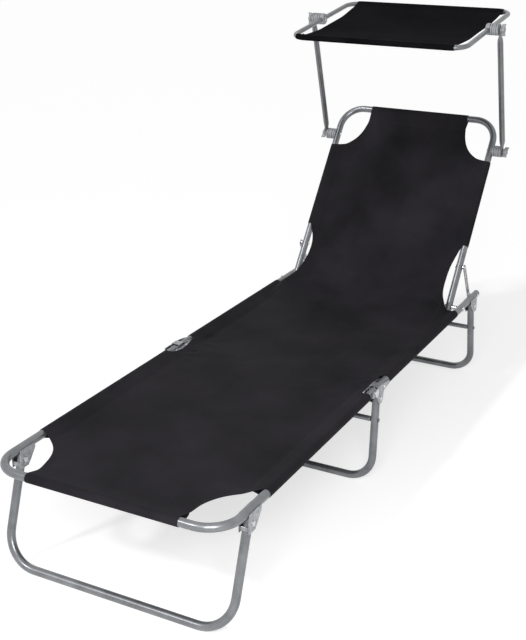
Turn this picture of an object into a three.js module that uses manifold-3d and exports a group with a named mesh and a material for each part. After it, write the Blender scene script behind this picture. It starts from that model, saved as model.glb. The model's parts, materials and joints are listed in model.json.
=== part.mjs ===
// Folding sun lounger with a small sun canopy over the head end, in millimetres.
// X runs across the lounger, Y from the foot end to the head end and Z up from the ground.
// The backrest is raised, the canopy stands over it and the three U-shaped legs are open.
import * as THREE from "three";
import { mergeVertices } from "three/addons/utils/BufferGeometryUtils.js";
import Module from "manifold-3d";

const wasm = await Module();
wasm.setup();

// Tubes and the running gaps between pieces
const tubeDiameter = 19;
const tubeWall = 1;
const armTubeDiameter = 16;
const canopyTubeDiameter = 13;
const thinTubeWall = 0.8;
const clearance = 0.3;
const tubeSides = 12;
const bendSteps = 4;

// Bed frame: a foot section, a seat section and a backrest that nests inside the seat rails
const railSpacing = 550;
const railHeight = 248;
const footSectionLength = 724;
const seatSectionLength = 606;
const railTail = 143;
const footBendRadius = 68;
const backGap = 14;
const backLength = 576;
const backBendRadius = 64;
const backTail = 11;
const backAngle = 53;

// Mid hinge: a bracket with one pivot for each section and one for the middle leg
const hingePivotSpacing = 45;
const railEndBeyondPivot = 8;
const bracketThickness = 2;
const hingeFootReach = 46;
const hingeSeatReach = 56;
const hingeTop = 10;
const hingeBridgeLength = 22;
const hingeLegEarDrop = 13;

// Legs: U-shaped tubes whose pivots hang under the rails
const legPivotDrop = 24;
const legEndBeyondPivot = 8;
const legBendRadius = 74;
const rearLegBendRadius = 62;
const footLegPivotInset = 95;
const footLegSplay = 74;
const middleLegPivotOffset = 5;
const middleLegSplay = 14;
const rearLegPivotInset = 99;
const rearLegSplay = 40;
const crossbarDiameter = 13;
const middleCrossbarDrop = 57;
const rearCrossbarDrop = 73;
const crossbarRivetDiameter = 5;
const crossbarRivetHead = 10;
const crossbarPlugLength = 12;
const drainHoleDiameter = 4;

// Leg brackets: two cheeks beside the rail with a stop tab behind the opened leg
const cheekAbove = 2;
const cheekBelow = 17;
const cheekShort = 16;
const cheekLong = 34;
const stopTabTop = 8.6;
const stopTabLength = 8;

// Rivets and pins
const rivetDiameter = 6;
const rivetHeadDiameter = 12;
const rivetHeadHeight = 2;
const hingeBossDiameter = 20;
const hingeBossHeight = 3;
const hingeRivetHeadDiameter = 9;
const pivotPinDiameter = 8;
const pivotPinHeadDiameter = 14;
const pivotCollarDiameter = 13;
const capWall = 2.5;
const capPlugLength = 14;

// Recline links: slotted bars between the backrest and pins near the rail ends
const linkPinAlongBack = 121;
const linkPinBeyondPivot = 125;
const linkWidth = 16;
const linkThickness = 2.5;
const linkTailBeyondPin = 12;
const linkSlotLength = 22;
const linkSlotWidth = 8;
const linkSlotPitch = 34;
const linkSlotCount = 3;
const linkPinDiameter = 6;
const linkPinHeadDiameter = 10;

// Sling: sleeves round the tubes with a flat sheet between them
const slingThickness = 1.4;
const sleeveWall = 1.2;
const sleeveSeamReach = 38;
const creaseGap = 1.6;
const footSleeveStart = 175;
const footBarSleeveHalf = 180;
const footBiteInner = 170;
const footBiteDepth = 165;
const footBiteMargin = 26;
const seatBiteMargin = 5;
const hingeBiteInset = 28;
const seatSleeveEnd = 47;
const creaseHalfWidth = 222;
const backSleeveStart = 200;
const backSleeveBelowTop = 130;
const backNeckHalfWidth = 209;
const backNeckAt = 82;
const backTopSleeveHalf = 152;
const backBiteInner = 150;
const backBiteBelowTop = 121;
const biteSteps = 6;

// Canopy: a closed tube loop on two arms that stand on the backrest
const clampBelowTop = 92;
const lowerDiscStack = 24.2;
const upperDiscStack = 20.7;
const armLength = 374;
const armAngle = 107.5;
const armFlatThickness = 4;
const armFlatWidth = 22;
const armSlit = 0.8;
const armFlatLength = 15;
const armTaperLength = 18;
const canopyFrontReach = 204.5;
const canopyRearReach = 198;
const canopyBendRadius = 38;
const canopyTilt = 7.6;
const canopyButtGap = 1;
const canopySleeveInset = 26.5;
const canopyLeftDraw = 30;
const canopyRightDraw = -18;
const canopySeamReach = 30;

// Clamps: toothed discs, a bolt and a wing knob at each end of both arms
const discDiameter = 29;
const discGrooveDepth = 2;
const discSides = 12;
const boltDiameter = 6;
const boltHeadDiameter = 12;
const boltHeadHeight = 2;
const boltInKnob = 6;
const knobHubDiameter = 17;
const knobHubLength = 8;
const knobWingSpan = 28;
const knobWingDepth = 12;
const knobWingThickness = 6;
const pinSides = 8;

const tubeRadius = tubeDiameter / 2;
const armTubeRadius = armTubeDiameter / 2;
const canopyTubeRadius = canopyTubeDiameter / 2;
const railX = railSpacing / 2;
const backX = railX - tubeDiameter - backGap;
const armInside = backX + tubeRadius + lowerDiscStack;
const armX = armInside + clearance + armFlatThickness / 2;
const canopyX = armInside - upperDiscStack - canopyTubeRadius;
const clampAlongBack = backLength - clampBelowTop;
const backSleeveEnd = backLength - backSleeveBelowTop;
const backBiteDepth = backLength - backBiteBelowTop;
const recliner = footSectionLength + seatSectionLength;
const railEnd = recliner + railTail;
const sleeveRadius = tubeRadius + clearance + sleeveWall;
const footPivotY = footSectionLength - hingePivotSpacing / 2;
const seatPivotY = footSectionLength + hingePivotSpacing / 2;
const legPivotHeight = railHeight - legPivotDrop;
const legDrop = legPivotHeight - tubeRadius;
const cheekInside = tubeRadius + clearance;
const cheekOutside = cheekInside + bracketThickness;
const overrun = tubeDiameter;

const tubeSteel = () => new THREE.MeshStandardMaterial({ color: 0xb4b6b9, roughness: 0.36, metalness: 0.75 });
const plateSteel = () => new THREE.MeshStandardMaterial({ color: 0xa9abae, roughness: 0.42, metalness: 0.8 });
const brightSteel = () => new THREE.MeshStandardMaterial({ color: 0xd2d3d6, roughness: 0.25, metalness: 0.9 });
const greyPlastic = () => new THREE.MeshStandardMaterial({ color: 0x9b9da0, roughness: 0.55, metalness: 0 });
const blackFabric = () => new THREE.MeshStandardMaterial({ color: 0x1f1e21, roughness: 0.92, metalness: 0 });

const lounger = new THREE.Group();

// Turns a closed geometry into a solid for cutting and joining
function solidOf(geometry) {
  const bare = geometry.clone();
  bare.deleteAttribute("normal");
  bare.deleteAttribute("uv");
  const merged = mergeVertices(bare);
  const mesh = new wasm.Mesh({
    numProp: 3,
    vertProperties: merged.attributes.position.array,
    triVerts: new Uint32Array(merged.index.array),
  });
  return new wasm.Manifold(mesh);
}

// Adds a piece, made from a geometry or a solid, to the scene under its own name
function addPiece(name, shape, material, parent = lounger) {
  let geometry = shape;
  if (shape instanceof wasm.Manifold) {
    const { vertProperties, triVerts } = shape.getMesh();
    const indexed = new THREE.BufferGeometry();
    indexed.setAttribute("position", new THREE.BufferAttribute(vertProperties, 3));
    indexed.setIndex(new THREE.BufferAttribute(triVerts, 1));
    geometry = indexed.toNonIndexed();
    geometry.computeVertexNormals();
  }
  const mesh = new THREE.Mesh(geometry, material);
  mesh.name = name;
  parent.add(mesh);
  return mesh;
}

function addGroup(parent, y, z, turn = 0) {
  const group = new THREE.Group();
  group.position.set(0, y, z);
  group.rotation.x = THREE.MathUtils.degToRad(turn);
  parent.add(group);
  return group;
}

// A flat path through given stations, so that straight runs take one step and bends several
class StationPath extends THREE.Curve {
  constructor(stations, planeNormal) {
    super();
    this.stations = stations;
    this.planeNormal = planeNormal;
  }

  getPoint(share, target = new THREE.Vector3()) {
    const along = share * (this.stations.length - 1);
    const index = Math.min(Math.floor(along), this.stations.length - 2);
    return target.lerpVectors(this.stations[index], this.stations[index + 1], along - index);
  }

  getUtoTmapping(share) {
    return share;
  }

  computeFrenetFrames(steps) {
    const tangents = [];
    for (let i = 0; i <= steps; i += 1) tangents.push(this.getTangentAt(i / steps));
    const normals = tangents.map(() => this.planeNormal.clone());
    const binormals = tangents.map((tangent) => new THREE.Vector3().crossVectors(tangent, this.planeNormal));
    return { tangents, normals, binormals };
  }
}

// Stations of a path that runs from corner to corner and rounds each inner corner
function bentStations(corners, radius) {
  const stations = [corners[0]];
  for (let i = 1; i < corners.length - 1; i += 1) {
    const into = new THREE.Vector3().subVectors(corners[i], corners[i - 1]).normalize();
    const out = new THREE.Vector3().subVectors(corners[i + 1], corners[i]).normalize();
    const half = into.angleTo(out) / 2;
    const setback = radius * Math.tan(half);
    const start = corners[i].clone().addScaledVector(into, -setback);
    const inward = out.clone().addScaledVector(into, -into.dot(out)).normalize();
    const centre = start.clone().addScaledVector(inward, radius);
    for (let step = 0; step <= bendSteps; step += 1) {
      const turn = (2 * half * step) / bendSteps;
      const onArc = centre.clone().addScaledVector(inward, -radius * Math.cos(turn));
      stations.push(onArc.addScaledVector(into, radius * Math.sin(turn)));
    }
  }
  stations.push(corners[corners.length - 1]);
  return stations;
}

function tubeAlong(stations, planeNormal, radius, boreRadius = 0, facetTurn = 0) {
  const section = new THREE.Shape();
  section.absarc(0, 0, radius, facetTurn, facetTurn + 2 * Math.PI);
  if (boreRadius > 0) {
    const bore = new THREE.Path();
    bore.absarc(0, 0, boreRadius, facetTurn, facetTurn + 2 * Math.PI);
    section.holes.push(bore);
  }
  return new THREE.ExtrudeGeometry(section, {
    steps: stations.length - 1,
    curveSegments: tubeSides / 2,
    extrudePath: new StationPath(stations, planeNormal),
  });
}

const at = (x, y, z) => new THREE.Vector3(x, y, z);
const upward = at(0, 0, 1);
const endward = at(0, 1, 0);

// A pin turned about an axis along X, from steps of [radius, from, to]
function turnedPin(steps, sides = pinSides) {
  const outline = [new THREE.Vector2(0, steps[0][1])];
  for (const [radius, from, to] of steps) outline.push(new THREE.Vector2(radius, from), new THREE.Vector2(radius, to));
  outline.push(new THREE.Vector2(0, steps[steps.length - 1][2]));
  return new THREE.LatheGeometry(outline, sides).rotateZ(-Math.PI / 2);
}

// A hole cutter along X through a point of the YZ plane, with its flats at the radius
function crossHole(radius, from, to, y = 0, z = 0) {
  const corner = radius / Math.cos(Math.PI / pinSides);
  return solidOf(turnedPin([[corner, from, to]])).translate([0, y, z]);
}

// A plate in the YZ plane, from an outline of [y, z] points, between two X planes
function sidePlate(points, from, to, holes = []) {
  const shape = new THREE.Shape(points.map(([y, z]) => new THREE.Vector2(y, z)));
  for (const hole of holes) shape.holes.push(hole);
  const plate = new THREE.ExtrudeGeometry(shape, { depth: to - from, bevelEnabled: false });
  return plate.rotateY(Math.PI / 2).rotateX(Math.PI / 2).translate(from, 0, 0);
}

function block(fromX, toX, fromY, toY, fromZ, toZ) {
  const box = new THREE.BoxGeometry(toX - fromX, toY - fromY, toZ - fromZ);
  return solidOf(box.translate((fromX + toX) / 2, (fromY + toY) / 2, (fromZ + toZ) / 2));
}

// The same piece for the other side of the lounger
function mirrored(solid) {
  return solid.mirror([1, 0, 0]);
}

function addPair(name, solid, material, parent = lounger) {
  addPiece(`${name}_right`, solid, material(), parent);
  addPiece(`${name}_left`, mirrored(solid), material(), parent);
}

// Foot section frame: one tube bent into a U, open towards the mid hinge
const footFrameEnd = footPivotY + railEndBeyondPivot;
const footStations = bentStations(
  [at(-railX, footFrameEnd, railHeight), at(-railX, 0, railHeight), at(railX, 0, railHeight),
    at(railX, footFrameEnd, railHeight)],
  footBendRadius,
);
const footHole = crossHole(rivetDiameter / 2 + clearance, -railX - overrun, railX + overrun, footPivotY, railHeight);
addPiece(
  "foot_frame",
  solidOf(tubeAlong(footStations, upward, tubeRadius, tubeRadius - tubeWall)).subtract(footHole),
  tubeSteel(),
);

// Seat rails: straight tubes from the mid hinge to a capped tail behind the backrest pivot
const railStations = [at(railX, seatPivotY - railEndBeyondPivot, railHeight), at(railX, railEnd, railHeight)];
const pivotHoleRadius = pivotPinDiameter / 2 + clearance;
const linkHoleRadius = linkPinDiameter / 2 + clearance;
const rivetHoleRadius = rivetDiameter / 2 + clearance;
const railHoles = [
  crossHole(rivetHoleRadius, railX - overrun, railX + overrun, seatPivotY, railHeight),
  crossHole(pivotHoleRadius, railX - overrun, railX + overrun, recliner, railHeight),
  crossHole(linkHoleRadius, railX - overrun, railX + overrun, recliner + linkPinBeyondPivot, railHeight),
];
let seatRail = solidOf(tubeAlong(railStations, upward, tubeRadius, tubeRadius - tubeWall));
for (const hole of railHoles) seatRail = seatRail.subtract(hole);
addPair("seat_rail", seatRail, tubeSteel);

const capSteps = [[tubeRadius - tubeWall - clearance, -capPlugLength, clearance], [tubeRadius, clearance, capWall]];
const railCap = solidOf(turnedPin(capSteps, tubeSides).rotateZ(Math.PI / 2)).translate([railX, railEnd, railHeight]);
const capBite = crossHole(linkHoleRadius, railX - overrun, railX + overrun, recliner + linkPinBeyondPivot, railHeight);
addPair("rail_end_cap", railCap.subtract(capBite), greyPlastic);

// Mid hinge brackets: two cheeks joined by a bridge over the gap between the rail ends
const hingeOutline = [
  [-hingeFootReach, 0], [-hingeFootReach + cheekAbove, hingeTop], [hingeSeatReach - cheekAbove, hingeTop / 2],
  [hingeSeatReach, 0], [hingeSeatReach - cheekAbove, -hingeTop / 2], [hingeBridgeLength, -tubeRadius],
  [middleLegPivotOffset + hingeLegEarDrop, -legPivotDrop - hingeLegEarDrop / 2],
  [middleLegPivotOffset + hingeLegEarDrop / 2, -legPivotDrop - hingeLegEarDrop],
  [middleLegPivotOffset - hingeLegEarDrop / 2, -legPivotDrop - hingeLegEarDrop],
  [middleLegPivotOffset - hingeLegEarDrop, -legPivotDrop - hingeLegEarDrop / 2],
  [-hingeBridgeLength, -tubeRadius], [-hingeFootReach + cheekAbove, -hingeTop / 2],
];
hingeOutline.splice(2, 0, [hingeBridgeLength, hingeTop]);
const middleLegY = footSectionLength + middleLegPivotOffset;
let hingeBracket = solidOf(sidePlate(hingeOutline, railX + cheekInside, railX + cheekOutside))
  .add(solidOf(sidePlate(hingeOutline, railX - cheekOutside, railX - cheekInside)))
  .add(block(railX - cheekOutside, railX + cheekOutside, -hingeBridgeLength / 2, hingeBridgeLength / 2,
    cheekInside, cheekInside + bracketThickness).add(
    block(railX - cheekOutside, railX - cheekInside, -hingeBridgeLength / 2, hingeBridgeLength / 2,
      0, cheekInside + bracketThickness)).add(
    block(railX + cheekInside, railX + cheekOutside, -hingeBridgeLength / 2, hingeBridgeLength / 2,
      0, cheekInside + bracketThickness)))
  .translate([0, footSectionLength, railHeight]);
for (const [y, z] of [[footPivotY, railHeight], [seatPivotY, railHeight], [middleLegY, legPivotHeight]]) {
  hingeBracket = hingeBracket.subtract(crossHole(rivetHoleRadius, railX - overrun, railX + overrun, y, z));
}
addPair("mid_hinge_bracket", hingeBracket, plateSteel);

// A rivet through both cheeks of a bracket, with its outer head towards the side
function cheekRivet(headDiameter, headHeight, y, z) {
  const grip = cheekOutside + clearance;
  const inner = railX - grip;
  const outer = railX + grip;
  const pin = turnedPin([
    [rivetHeadDiameter / 2, inner - rivetHeadHeight, inner], [rivetDiameter / 2, inner, outer],
    [headDiameter / 2, outer, outer + headHeight / 2], [headDiameter / 3, outer + headHeight / 2, outer + headHeight],
  ]);
  return solidOf(pin).translate([0, y, z]);
}
addPair("foot_section_rivet", cheekRivet(hingeBossDiameter, hingeBossHeight, footPivotY, railHeight), brightSteel);
addPair("seat_section_rivet", cheekRivet(hingeRivetHeadDiameter, rivetHeadHeight, seatPivotY, railHeight), brightSteel);
addPair("middle_leg_rivet", cheekRivet(rivetHeadDiameter, rivetHeadHeight, middleLegY, legPivotHeight), brightSteel);

// A U-shaped leg, built with its pivot at the origin of a group that leans by the splay.
// One flat of its tube faces straight down where it stands on the ground.
const legLean = (splay) => Math.atan2(splay, legDrop);
const legGroup = (pivotY, splay) => addGroup(
  lounger, pivotY, legPivotHeight, THREE.MathUtils.radToDeg(legLean(splay)),
);

function legTube(splay, bendRadius, crossbarDrop) {
  const length = Math.hypot(splay, legDrop);
  const corners = [at(-railX, 0, legEndBeyondPivot), at(-railX, 0, -length), at(railX, 0, -length),
    at(railX, 0, legEndBeyondPivot)];
  const footFacet = Math.PI / tubeSides - legLean(splay);
  let leg = solidOf(tubeAlong(bentStations(corners, bendRadius), endward, tubeRadius, tubeRadius - tubeWall, footFacet));
  leg = leg.subtract(crossHole(rivetHoleRadius, -railX - overrun, railX + overrun));
  if (crossbarDrop) {
    const rivetHole = crossbarRivetDiameter / 2 + clearance;
    leg = leg.subtract(crossHole(rivetHole, -railX - overrun, railX + overrun, 0, -crossbarDrop));
  }
  return leg;
}

// A tubular crossbar between the two sides of a leg, riveted through them, with a drain hole
function crossbar(drop) {
  const face = railX - tubeRadius - clearance;
  const outside = railX + tubeRadius + clearance;
  const boreEnd = face - crossbarPlugLength;
  const bore = solidOf(turnedPin([[crossbarDiameter / 2 - tubeWall, -boreEnd, boreEnd]]));
  const drain = solidOf(tubeAlong([at(0, 0, 0), at(0, 0, -crossbarDiameter)], endward, drainHoleDiameter / 2));
  return solidOf(turnedPin([
    [crossbarRivetHead / 2, -outside - rivetHeadHeight, -outside], [crossbarRivetDiameter / 2, -outside, -face],
    [crossbarDiameter / 2, -face, face], [crossbarRivetDiameter / 2, face, outside],
    [crossbarRivetHead / 2, outside, outside + rivetHeadHeight],
  ], tubeSides)).subtract(bore).subtract(drain).translate([0, 0, -drop]);
}

const footLegGroup = legGroup(footLegPivotInset, -footLegSplay);
addPiece("foot_leg", legTube(-footLegSplay, legBendRadius), tubeSteel(), footLegGroup);
const middleLegGroup = legGroup(middleLegY, -middleLegSplay);
addPiece("middle_leg", legTube(-middleLegSplay, rearLegBendRadius, middleCrossbarDrop), tubeSteel(), middleLegGroup);
addPiece("middle_leg_crossbar", crossbar(middleCrossbarDrop), tubeSteel(), middleLegGroup);
const rearLegY = recliner + rearLegPivotInset;
const rearLegGroup = legGroup(rearLegY, rearLegSplay);
addPiece("rear_leg", legTube(rearLegSplay, rearLegBendRadius, rearCrossbarDrop), tubeSteel(), rearLegGroup);
addPiece("rear_leg_crossbar", crossbar(rearCrossbarDrop), tubeSteel(), rearLegGroup);

// Leg bracket: the long side of its cheeks lies the way the leg folds, the stop tab behind it
function legBracket(pivotY, splay) {
  const fold = splay < 0 ? 1 : -1;
  const outline = [
    [-cheekShort, legPivotDrop + cheekAbove], [cheekLong, legPivotDrop + cheekAbove],
    [cheekLong, legPivotDrop - tubeRadius], [cheekShort, -cheekShort / 2], [cheekShort / 2, -cheekBelow],
    [-cheekShort - cheekAbove, -cheekBelow], [-cheekShort - cheekAbove, 0],
  ].map(([y, z]) => [y * fold, z]);
  const lean = THREE.MathUtils.radToDeg(legLean(splay));
  const tabFar = cheekInside + bracketThickness;
  const tab = fold > 0
    ? block(railX - cheekOutside, railX + cheekOutside, -tabFar, -cheekInside, -stopTabTop - stopTabLength, -stopTabTop)
    : block(railX - cheekOutside, railX + cheekOutside, cheekInside, tabFar, -stopTabTop - stopTabLength, -stopTabTop);
  const inner = solidOf(sidePlate(outline, railX - cheekOutside, railX - cheekInside));
  const outer = solidOf(sidePlate(outline, railX + cheekInside, railX + cheekOutside));
  const holes = crossHole(rivetHoleRadius, railX - overrun, railX + overrun);
  return inner.add(outer).add(tab.rotate([lean, 0, 0])).subtract(holes).translate([0, pivotY, legPivotHeight]);
}
addPair("foot_leg_bracket", legBracket(footLegPivotInset, -footLegSplay), plateSteel);
addPair("rear_leg_bracket", legBracket(rearLegY, rearLegSplay), plateSteel);
addPair("foot_leg_rivet", cheekRivet(rivetHeadDiameter, rivetHeadHeight, footLegPivotInset, legPivotHeight), brightSteel);
addPair("rear_leg_rivet", cheekRivet(rivetHeadDiameter, rivetHeadHeight, rearLegY, legPivotHeight), brightSteel);

// Backrest frame in its own group: its Y runs up the back from the pivot
const backGroup = addGroup(lounger, recliner, railHeight, backAngle);
const backStations = bentStations(
  [at(-backX, -backTail, 0), at(-backX, backLength, 0), at(backX, backLength, 0), at(backX, -backTail, 0)],
  backBendRadius,
);
const boltHoleRadius = boltDiameter / 2 + clearance;
const backFrame = solidOf(tubeAlong(backStations, upward, tubeRadius, tubeRadius - tubeWall))
  .subtract(crossHole(pivotHoleRadius, -backX - overrun, backX + overrun))
  .subtract(crossHole(linkHoleRadius, -backX - overrun, backX + overrun, linkPinAlongBack))
  .subtract(crossHole(boltHoleRadius, -backX - overrun, backX + overrun, clampAlongBack));
addPiece("back_frame", backFrame, tubeSteel(), backGroup);

// Backrest pivots: a headed pin with a collar that keeps the back frame clear of the rail
const backInside = backX - tubeRadius - clearance;
const backOutside = backX + tubeRadius + clearance;
const railInside = railX - tubeRadius - clearance;
const railOutside = railX + tubeRadius + clearance;
const pivotPin = solidOf(turnedPin([
  [pivotPinHeadDiameter / 2, backInside - rivetHeadHeight, backInside], [pivotPinDiameter / 2, backInside, backOutside],
  [pivotCollarDiameter / 2, backOutside, railInside], [pivotPinDiameter / 2, railInside, railOutside],
  [pivotPinHeadDiameter / 2, railOutside, railOutside + rivetHeadHeight],
])).translate([0, recliner, railHeight]);
addPair("backrest_pivot", pivotPin, brightSteel);

// Recline links hang from pins on the back frame, beside the stub pins of the rails
const linkInside = (backX + tubeRadius + railX - tubeRadius) / 2 - linkThickness;
const linkOutside = linkInside + linkThickness;
const backTurn = THREE.MathUtils.degToRad(backAngle);
const linkTopY = linkPinAlongBack * Math.cos(backTurn);
const linkTopZ = linkPinAlongBack * Math.sin(backTurn);
const linkReach = Math.hypot(linkPinBeyondPivot - linkTopY, linkTopZ);
const linkTurn = Math.atan2(linkTopZ, linkPinBeyondPivot - linkTopY);
const linkGroup = addGroup(
  lounger, recliner + linkTopY, railHeight + linkTopZ, -THREE.MathUtils.radToDeg(linkTurn),
);
const linkShape = new THREE.Shape();
const linkHalf = linkWidth / 2;
linkShape.absarc(0, 0, linkHalf, Math.PI / 2, (3 * Math.PI) / 2);
linkShape.absarc(linkReach + linkTailBeyondPin - linkHalf, 0, linkHalf, -Math.PI / 2, Math.PI / 2);
for (let slot = 0; slot < linkSlotCount; slot += 1) {
  const centre = linkReach - slot * linkSlotPitch;
  const reach = (linkSlotLength - linkSlotWidth) / 2;
  const opening = new THREE.Path();
  opening.absarc(centre - reach, 0, linkSlotWidth / 2, Math.PI / 2, (3 * Math.PI) / 2);
  opening.absarc(centre + reach - linkSlotWidth / 2, 0, linkSlotWidth / 2, -Math.PI / 2, Math.PI / 2);
  linkShape.holes.push(opening);
}
const linkPlate = new THREE.ExtrudeGeometry(linkShape, {
  depth: linkThickness, bevelEnabled: false, curveSegments: bendSteps,
});
linkPlate.rotateY(Math.PI / 2).rotateX(Math.PI / 2).translate(linkInside, 0, 0);
const link = solidOf(linkPlate).subtract(crossHole(linkHoleRadius, linkInside - overrun, linkOutside + overrun));
addPair("recline_link", link, plateSteel, linkGroup);

const linkPinEnd = linkOutside + clearance + rivetHeadHeight / 2;
const linkTopPin = solidOf(turnedPin([
  [linkPinHeadDiameter / 2, backInside - rivetHeadHeight, backInside], [linkPinDiameter / 2, backInside, backOutside],
  [linkPinHeadDiameter / 2, backOutside, linkInside - clearance],
  [linkPinDiameter / 2, linkInside - clearance, linkOutside + clearance],
  [linkPinHeadDiameter / 2, linkOutside + clearance, linkPinEnd],
])).translate([0, recliner + linkTopY, railHeight + linkTopZ]);
addPair("link_upper_pin", linkTopPin, brightSteel);
const linkLowerPin = solidOf(turnedPin([
  [linkPinDiameter / 2, linkPinEnd + clearance, railOutside],
  [linkPinHeadDiameter / 2, railOutside, railOutside + rivetHeadHeight],
])).translate([0, recliner + linkPinBeyondPivot, railHeight]);
addPair("link_lower_pin", linkLowerPin, brightSteel);

// A sleeve blank: a rod over the tube, with a wedge down to the sheet's seam on its inner side
function sleeve(from, to, inward, radius, seamReach) {
  const along = new THREE.Vector3().subVectors(to, from);
  const wedge = new THREE.Shape([
    new THREE.Vector2(0, radius), new THREE.Vector2(0, -radius),
    new THREE.Vector2(seamReach, -slingThickness / 2), new THREE.Vector2(seamReach, slingThickness / 2),
  ]);
  const ramp = new THREE.ExtrudeGeometry(wedge, { depth: along.length(), bevelEnabled: false });
  const place = new THREE.Matrix4().makeBasis(inward, new THREE.Vector3().crossVectors(along, inward).normalize(),
    along.clone().normalize()).setPosition(from);
  return solidOf(tubeAlong([from, to], upward, radius)).add(solidOf(ramp.applyMatrix4(place)));
}

// A sling: a sheet and its sleeves, trimmed to an outline and bored for the frame tube
function sling(sheet, sleeves, outline, frameStations, frameRadius) {
  const height = 2 * sleeveRadius + 2 * overrun;
  const trim = new THREE.ExtrudeGeometry(outline, { depth: height, bevelEnabled: false, curveSegments: biteSteps });
  let blank = sheet;
  for (const one of sleeves) blank = blank.add(one);
  const frameRoom = solidOf(tubeAlong(frameStations, upward, frameRadius + clearance));
  return blank.intersect(solidOf(trim.translate(0, 0, -height / 2))).subtract(frameRoom);
}

const half = slingThickness / 2;
const sheetEdge = railX + sleeveRadius + overrun;
const acrossRight = at(1, 0, 0);
const acrossLeft = at(-1, 0, 0);
const hingeLine = footSectionLength - clearance;
const biteCorner = railX - cheekOutside - clearance;
const biteWaist = railX - hingeBiteInset;
const footSleeveEnd = footSectionLength - hingeFootReach - footBiteMargin;
const footBiteMiddle = (footSleeveEnd + footSectionLength) / 2;

// Foot sling, cut back round the frame corners and the mid hinge brackets
const footOutline = new THREE.Shape();
footOutline.moveTo(-footBarSleeveHalf, -overrun);
footOutline.lineTo(footBarSleeveHalf, -overrun);
footOutline.lineTo(footBarSleeveHalf, 0);
footOutline.quadraticCurveTo(footBiteInner, footBiteDepth, railX, footSleeveStart);
footOutline.lineTo(sheetEdge, footSleeveStart);
footOutline.lineTo(sheetEdge, footSleeveEnd);
footOutline.lineTo(biteCorner, footSleeveEnd);
footOutline.quadraticCurveTo(biteWaist, footBiteMiddle, biteWaist, hingeLine);
footOutline.lineTo(-biteWaist, hingeLine);
footOutline.quadraticCurveTo(-biteWaist, footBiteMiddle, -biteCorner, footSleeveEnd);
footOutline.lineTo(-sheetEdge, footSleeveEnd);
footOutline.lineTo(-sheetEdge, footSleeveStart);
footOutline.lineTo(-railX, footSleeveStart);
footOutline.quadraticCurveTo(-footBiteInner, footBiteDepth, -footBarSleeveHalf, 0);
const flatFootStations = footStations.map((station) => station.clone().setZ(0));
const footSling = sling(
  block(-railX, railX, 0, hingeLine, -half, half),
  [
    sleeve(at(railX, footSleeveStart, 0), at(railX, footSleeveEnd, 0), acrossLeft,
      sleeveRadius, sleeveSeamReach),
    sleeve(at(-railX, footSleeveStart, 0), at(-railX, footSleeveEnd, 0), acrossRight,
      sleeveRadius, sleeveSeamReach),
    sleeve(at(-footBarSleeveHalf, 0, 0), at(footBarSleeveHalf, 0, 0), endward, sleeveRadius, sleeveSeamReach),
  ],
  footOutline, flatFootStations, tubeRadius,
);
addPiece("foot_sling", footSling, blackFabric(), addGroup(lounger, 0, railHeight));

// Seat sling, from the mid hinge to the crease at the backrest pivot
const seatStart = footSectionLength + clearance;
const seatBiteEnd = footSectionLength + hingeSeatReach + seatBiteMargin;
const seatBiteMiddle = (footSectionLength + seatBiteEnd) / 2;
const seatSleeveTo = recliner - seatSleeveEnd;
const seatEnd = recliner - creaseGap;
const seatOutline = new THREE.Shape();
seatOutline.moveTo(-biteWaist, seatStart);
seatOutline.lineTo(biteWaist, seatStart);
seatOutline.quadraticCurveTo(biteWaist, seatBiteMiddle, biteCorner, seatBiteEnd);
seatOutline.lineTo(sheetEdge, seatBiteEnd);
seatOutline.lineTo(sheetEdge, seatSleeveTo);
seatOutline.lineTo(railX, seatSleeveTo);
seatOutline.quadraticCurveTo(creaseHalfWidth, seatSleeveTo, creaseHalfWidth, seatEnd);
seatOutline.lineTo(-creaseHalfWidth, seatEnd);
seatOutline.quadraticCurveTo(-creaseHalfWidth, seatSleeveTo, -railX, seatSleeveTo);
seatOutline.lineTo(-sheetEdge, seatSleeveTo);
seatOutline.lineTo(-sheetEdge, seatBiteEnd);
seatOutline.lineTo(-biteCorner, seatBiteEnd);
seatOutline.quadraticCurveTo(-biteWaist, seatBiteMiddle, -biteWaist, seatStart);
const railSleeve = (side, inward) => sleeve(
  at(side * railX, seatBiteEnd, 0), at(side * railX, seatSleeveTo, 0), inward, sleeveRadius, sleeveSeamReach,
);
const bothRails = [at(railX, seatStart, 0), at(railX, railEnd, 0)];
const seatSling = sling(
  block(-railX, railX, seatStart, seatEnd, -half, half),
  [railSleeve(1, acrossLeft), railSleeve(-1, acrossRight)],
  seatOutline, bothRails, tubeRadius,
).subtract(solidOf(tubeAlong(bothRails, upward, tubeRadius + clearance).translate(-railSpacing, 0, 0)));
addPiece("seat_sling", seatSling, blackFabric(), addGroup(lounger, 0, railHeight));

// Back sling, necked in beside the recline links and cut back at the two top corners
const backEdge = backX + sleeveRadius + overrun;
const backTop = backLength + overrun;
const backOutline = new THREE.Shape();
backOutline.moveTo(-creaseHalfWidth, creaseGap);
backOutline.lineTo(creaseHalfWidth, creaseGap);
backOutline.quadraticCurveTo(backNeckHalfWidth, backNeckAt / 2, backNeckHalfWidth, backNeckAt);
backOutline.quadraticCurveTo(backNeckHalfWidth, (backNeckAt + backSleeveStart) / 2, backX, backSleeveStart);
backOutline.lineTo(backEdge, backSleeveStart);
backOutline.lineTo(backEdge, backSleeveEnd);
backOutline.lineTo(backX, backSleeveEnd);
backOutline.quadraticCurveTo(backBiteInner, backBiteDepth, backTopSleeveHalf, backLength);
backOutline.lineTo(backTopSleeveHalf, backTop);
backOutline.lineTo(-backTopSleeveHalf, backTop);
backOutline.lineTo(-backTopSleeveHalf, backLength);
backOutline.quadraticCurveTo(-backBiteInner, backBiteDepth, -backX, backSleeveEnd);
backOutline.lineTo(-backEdge, backSleeveEnd);
backOutline.lineTo(-backEdge, backSleeveStart);
backOutline.lineTo(-backX, backSleeveStart);
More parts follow.
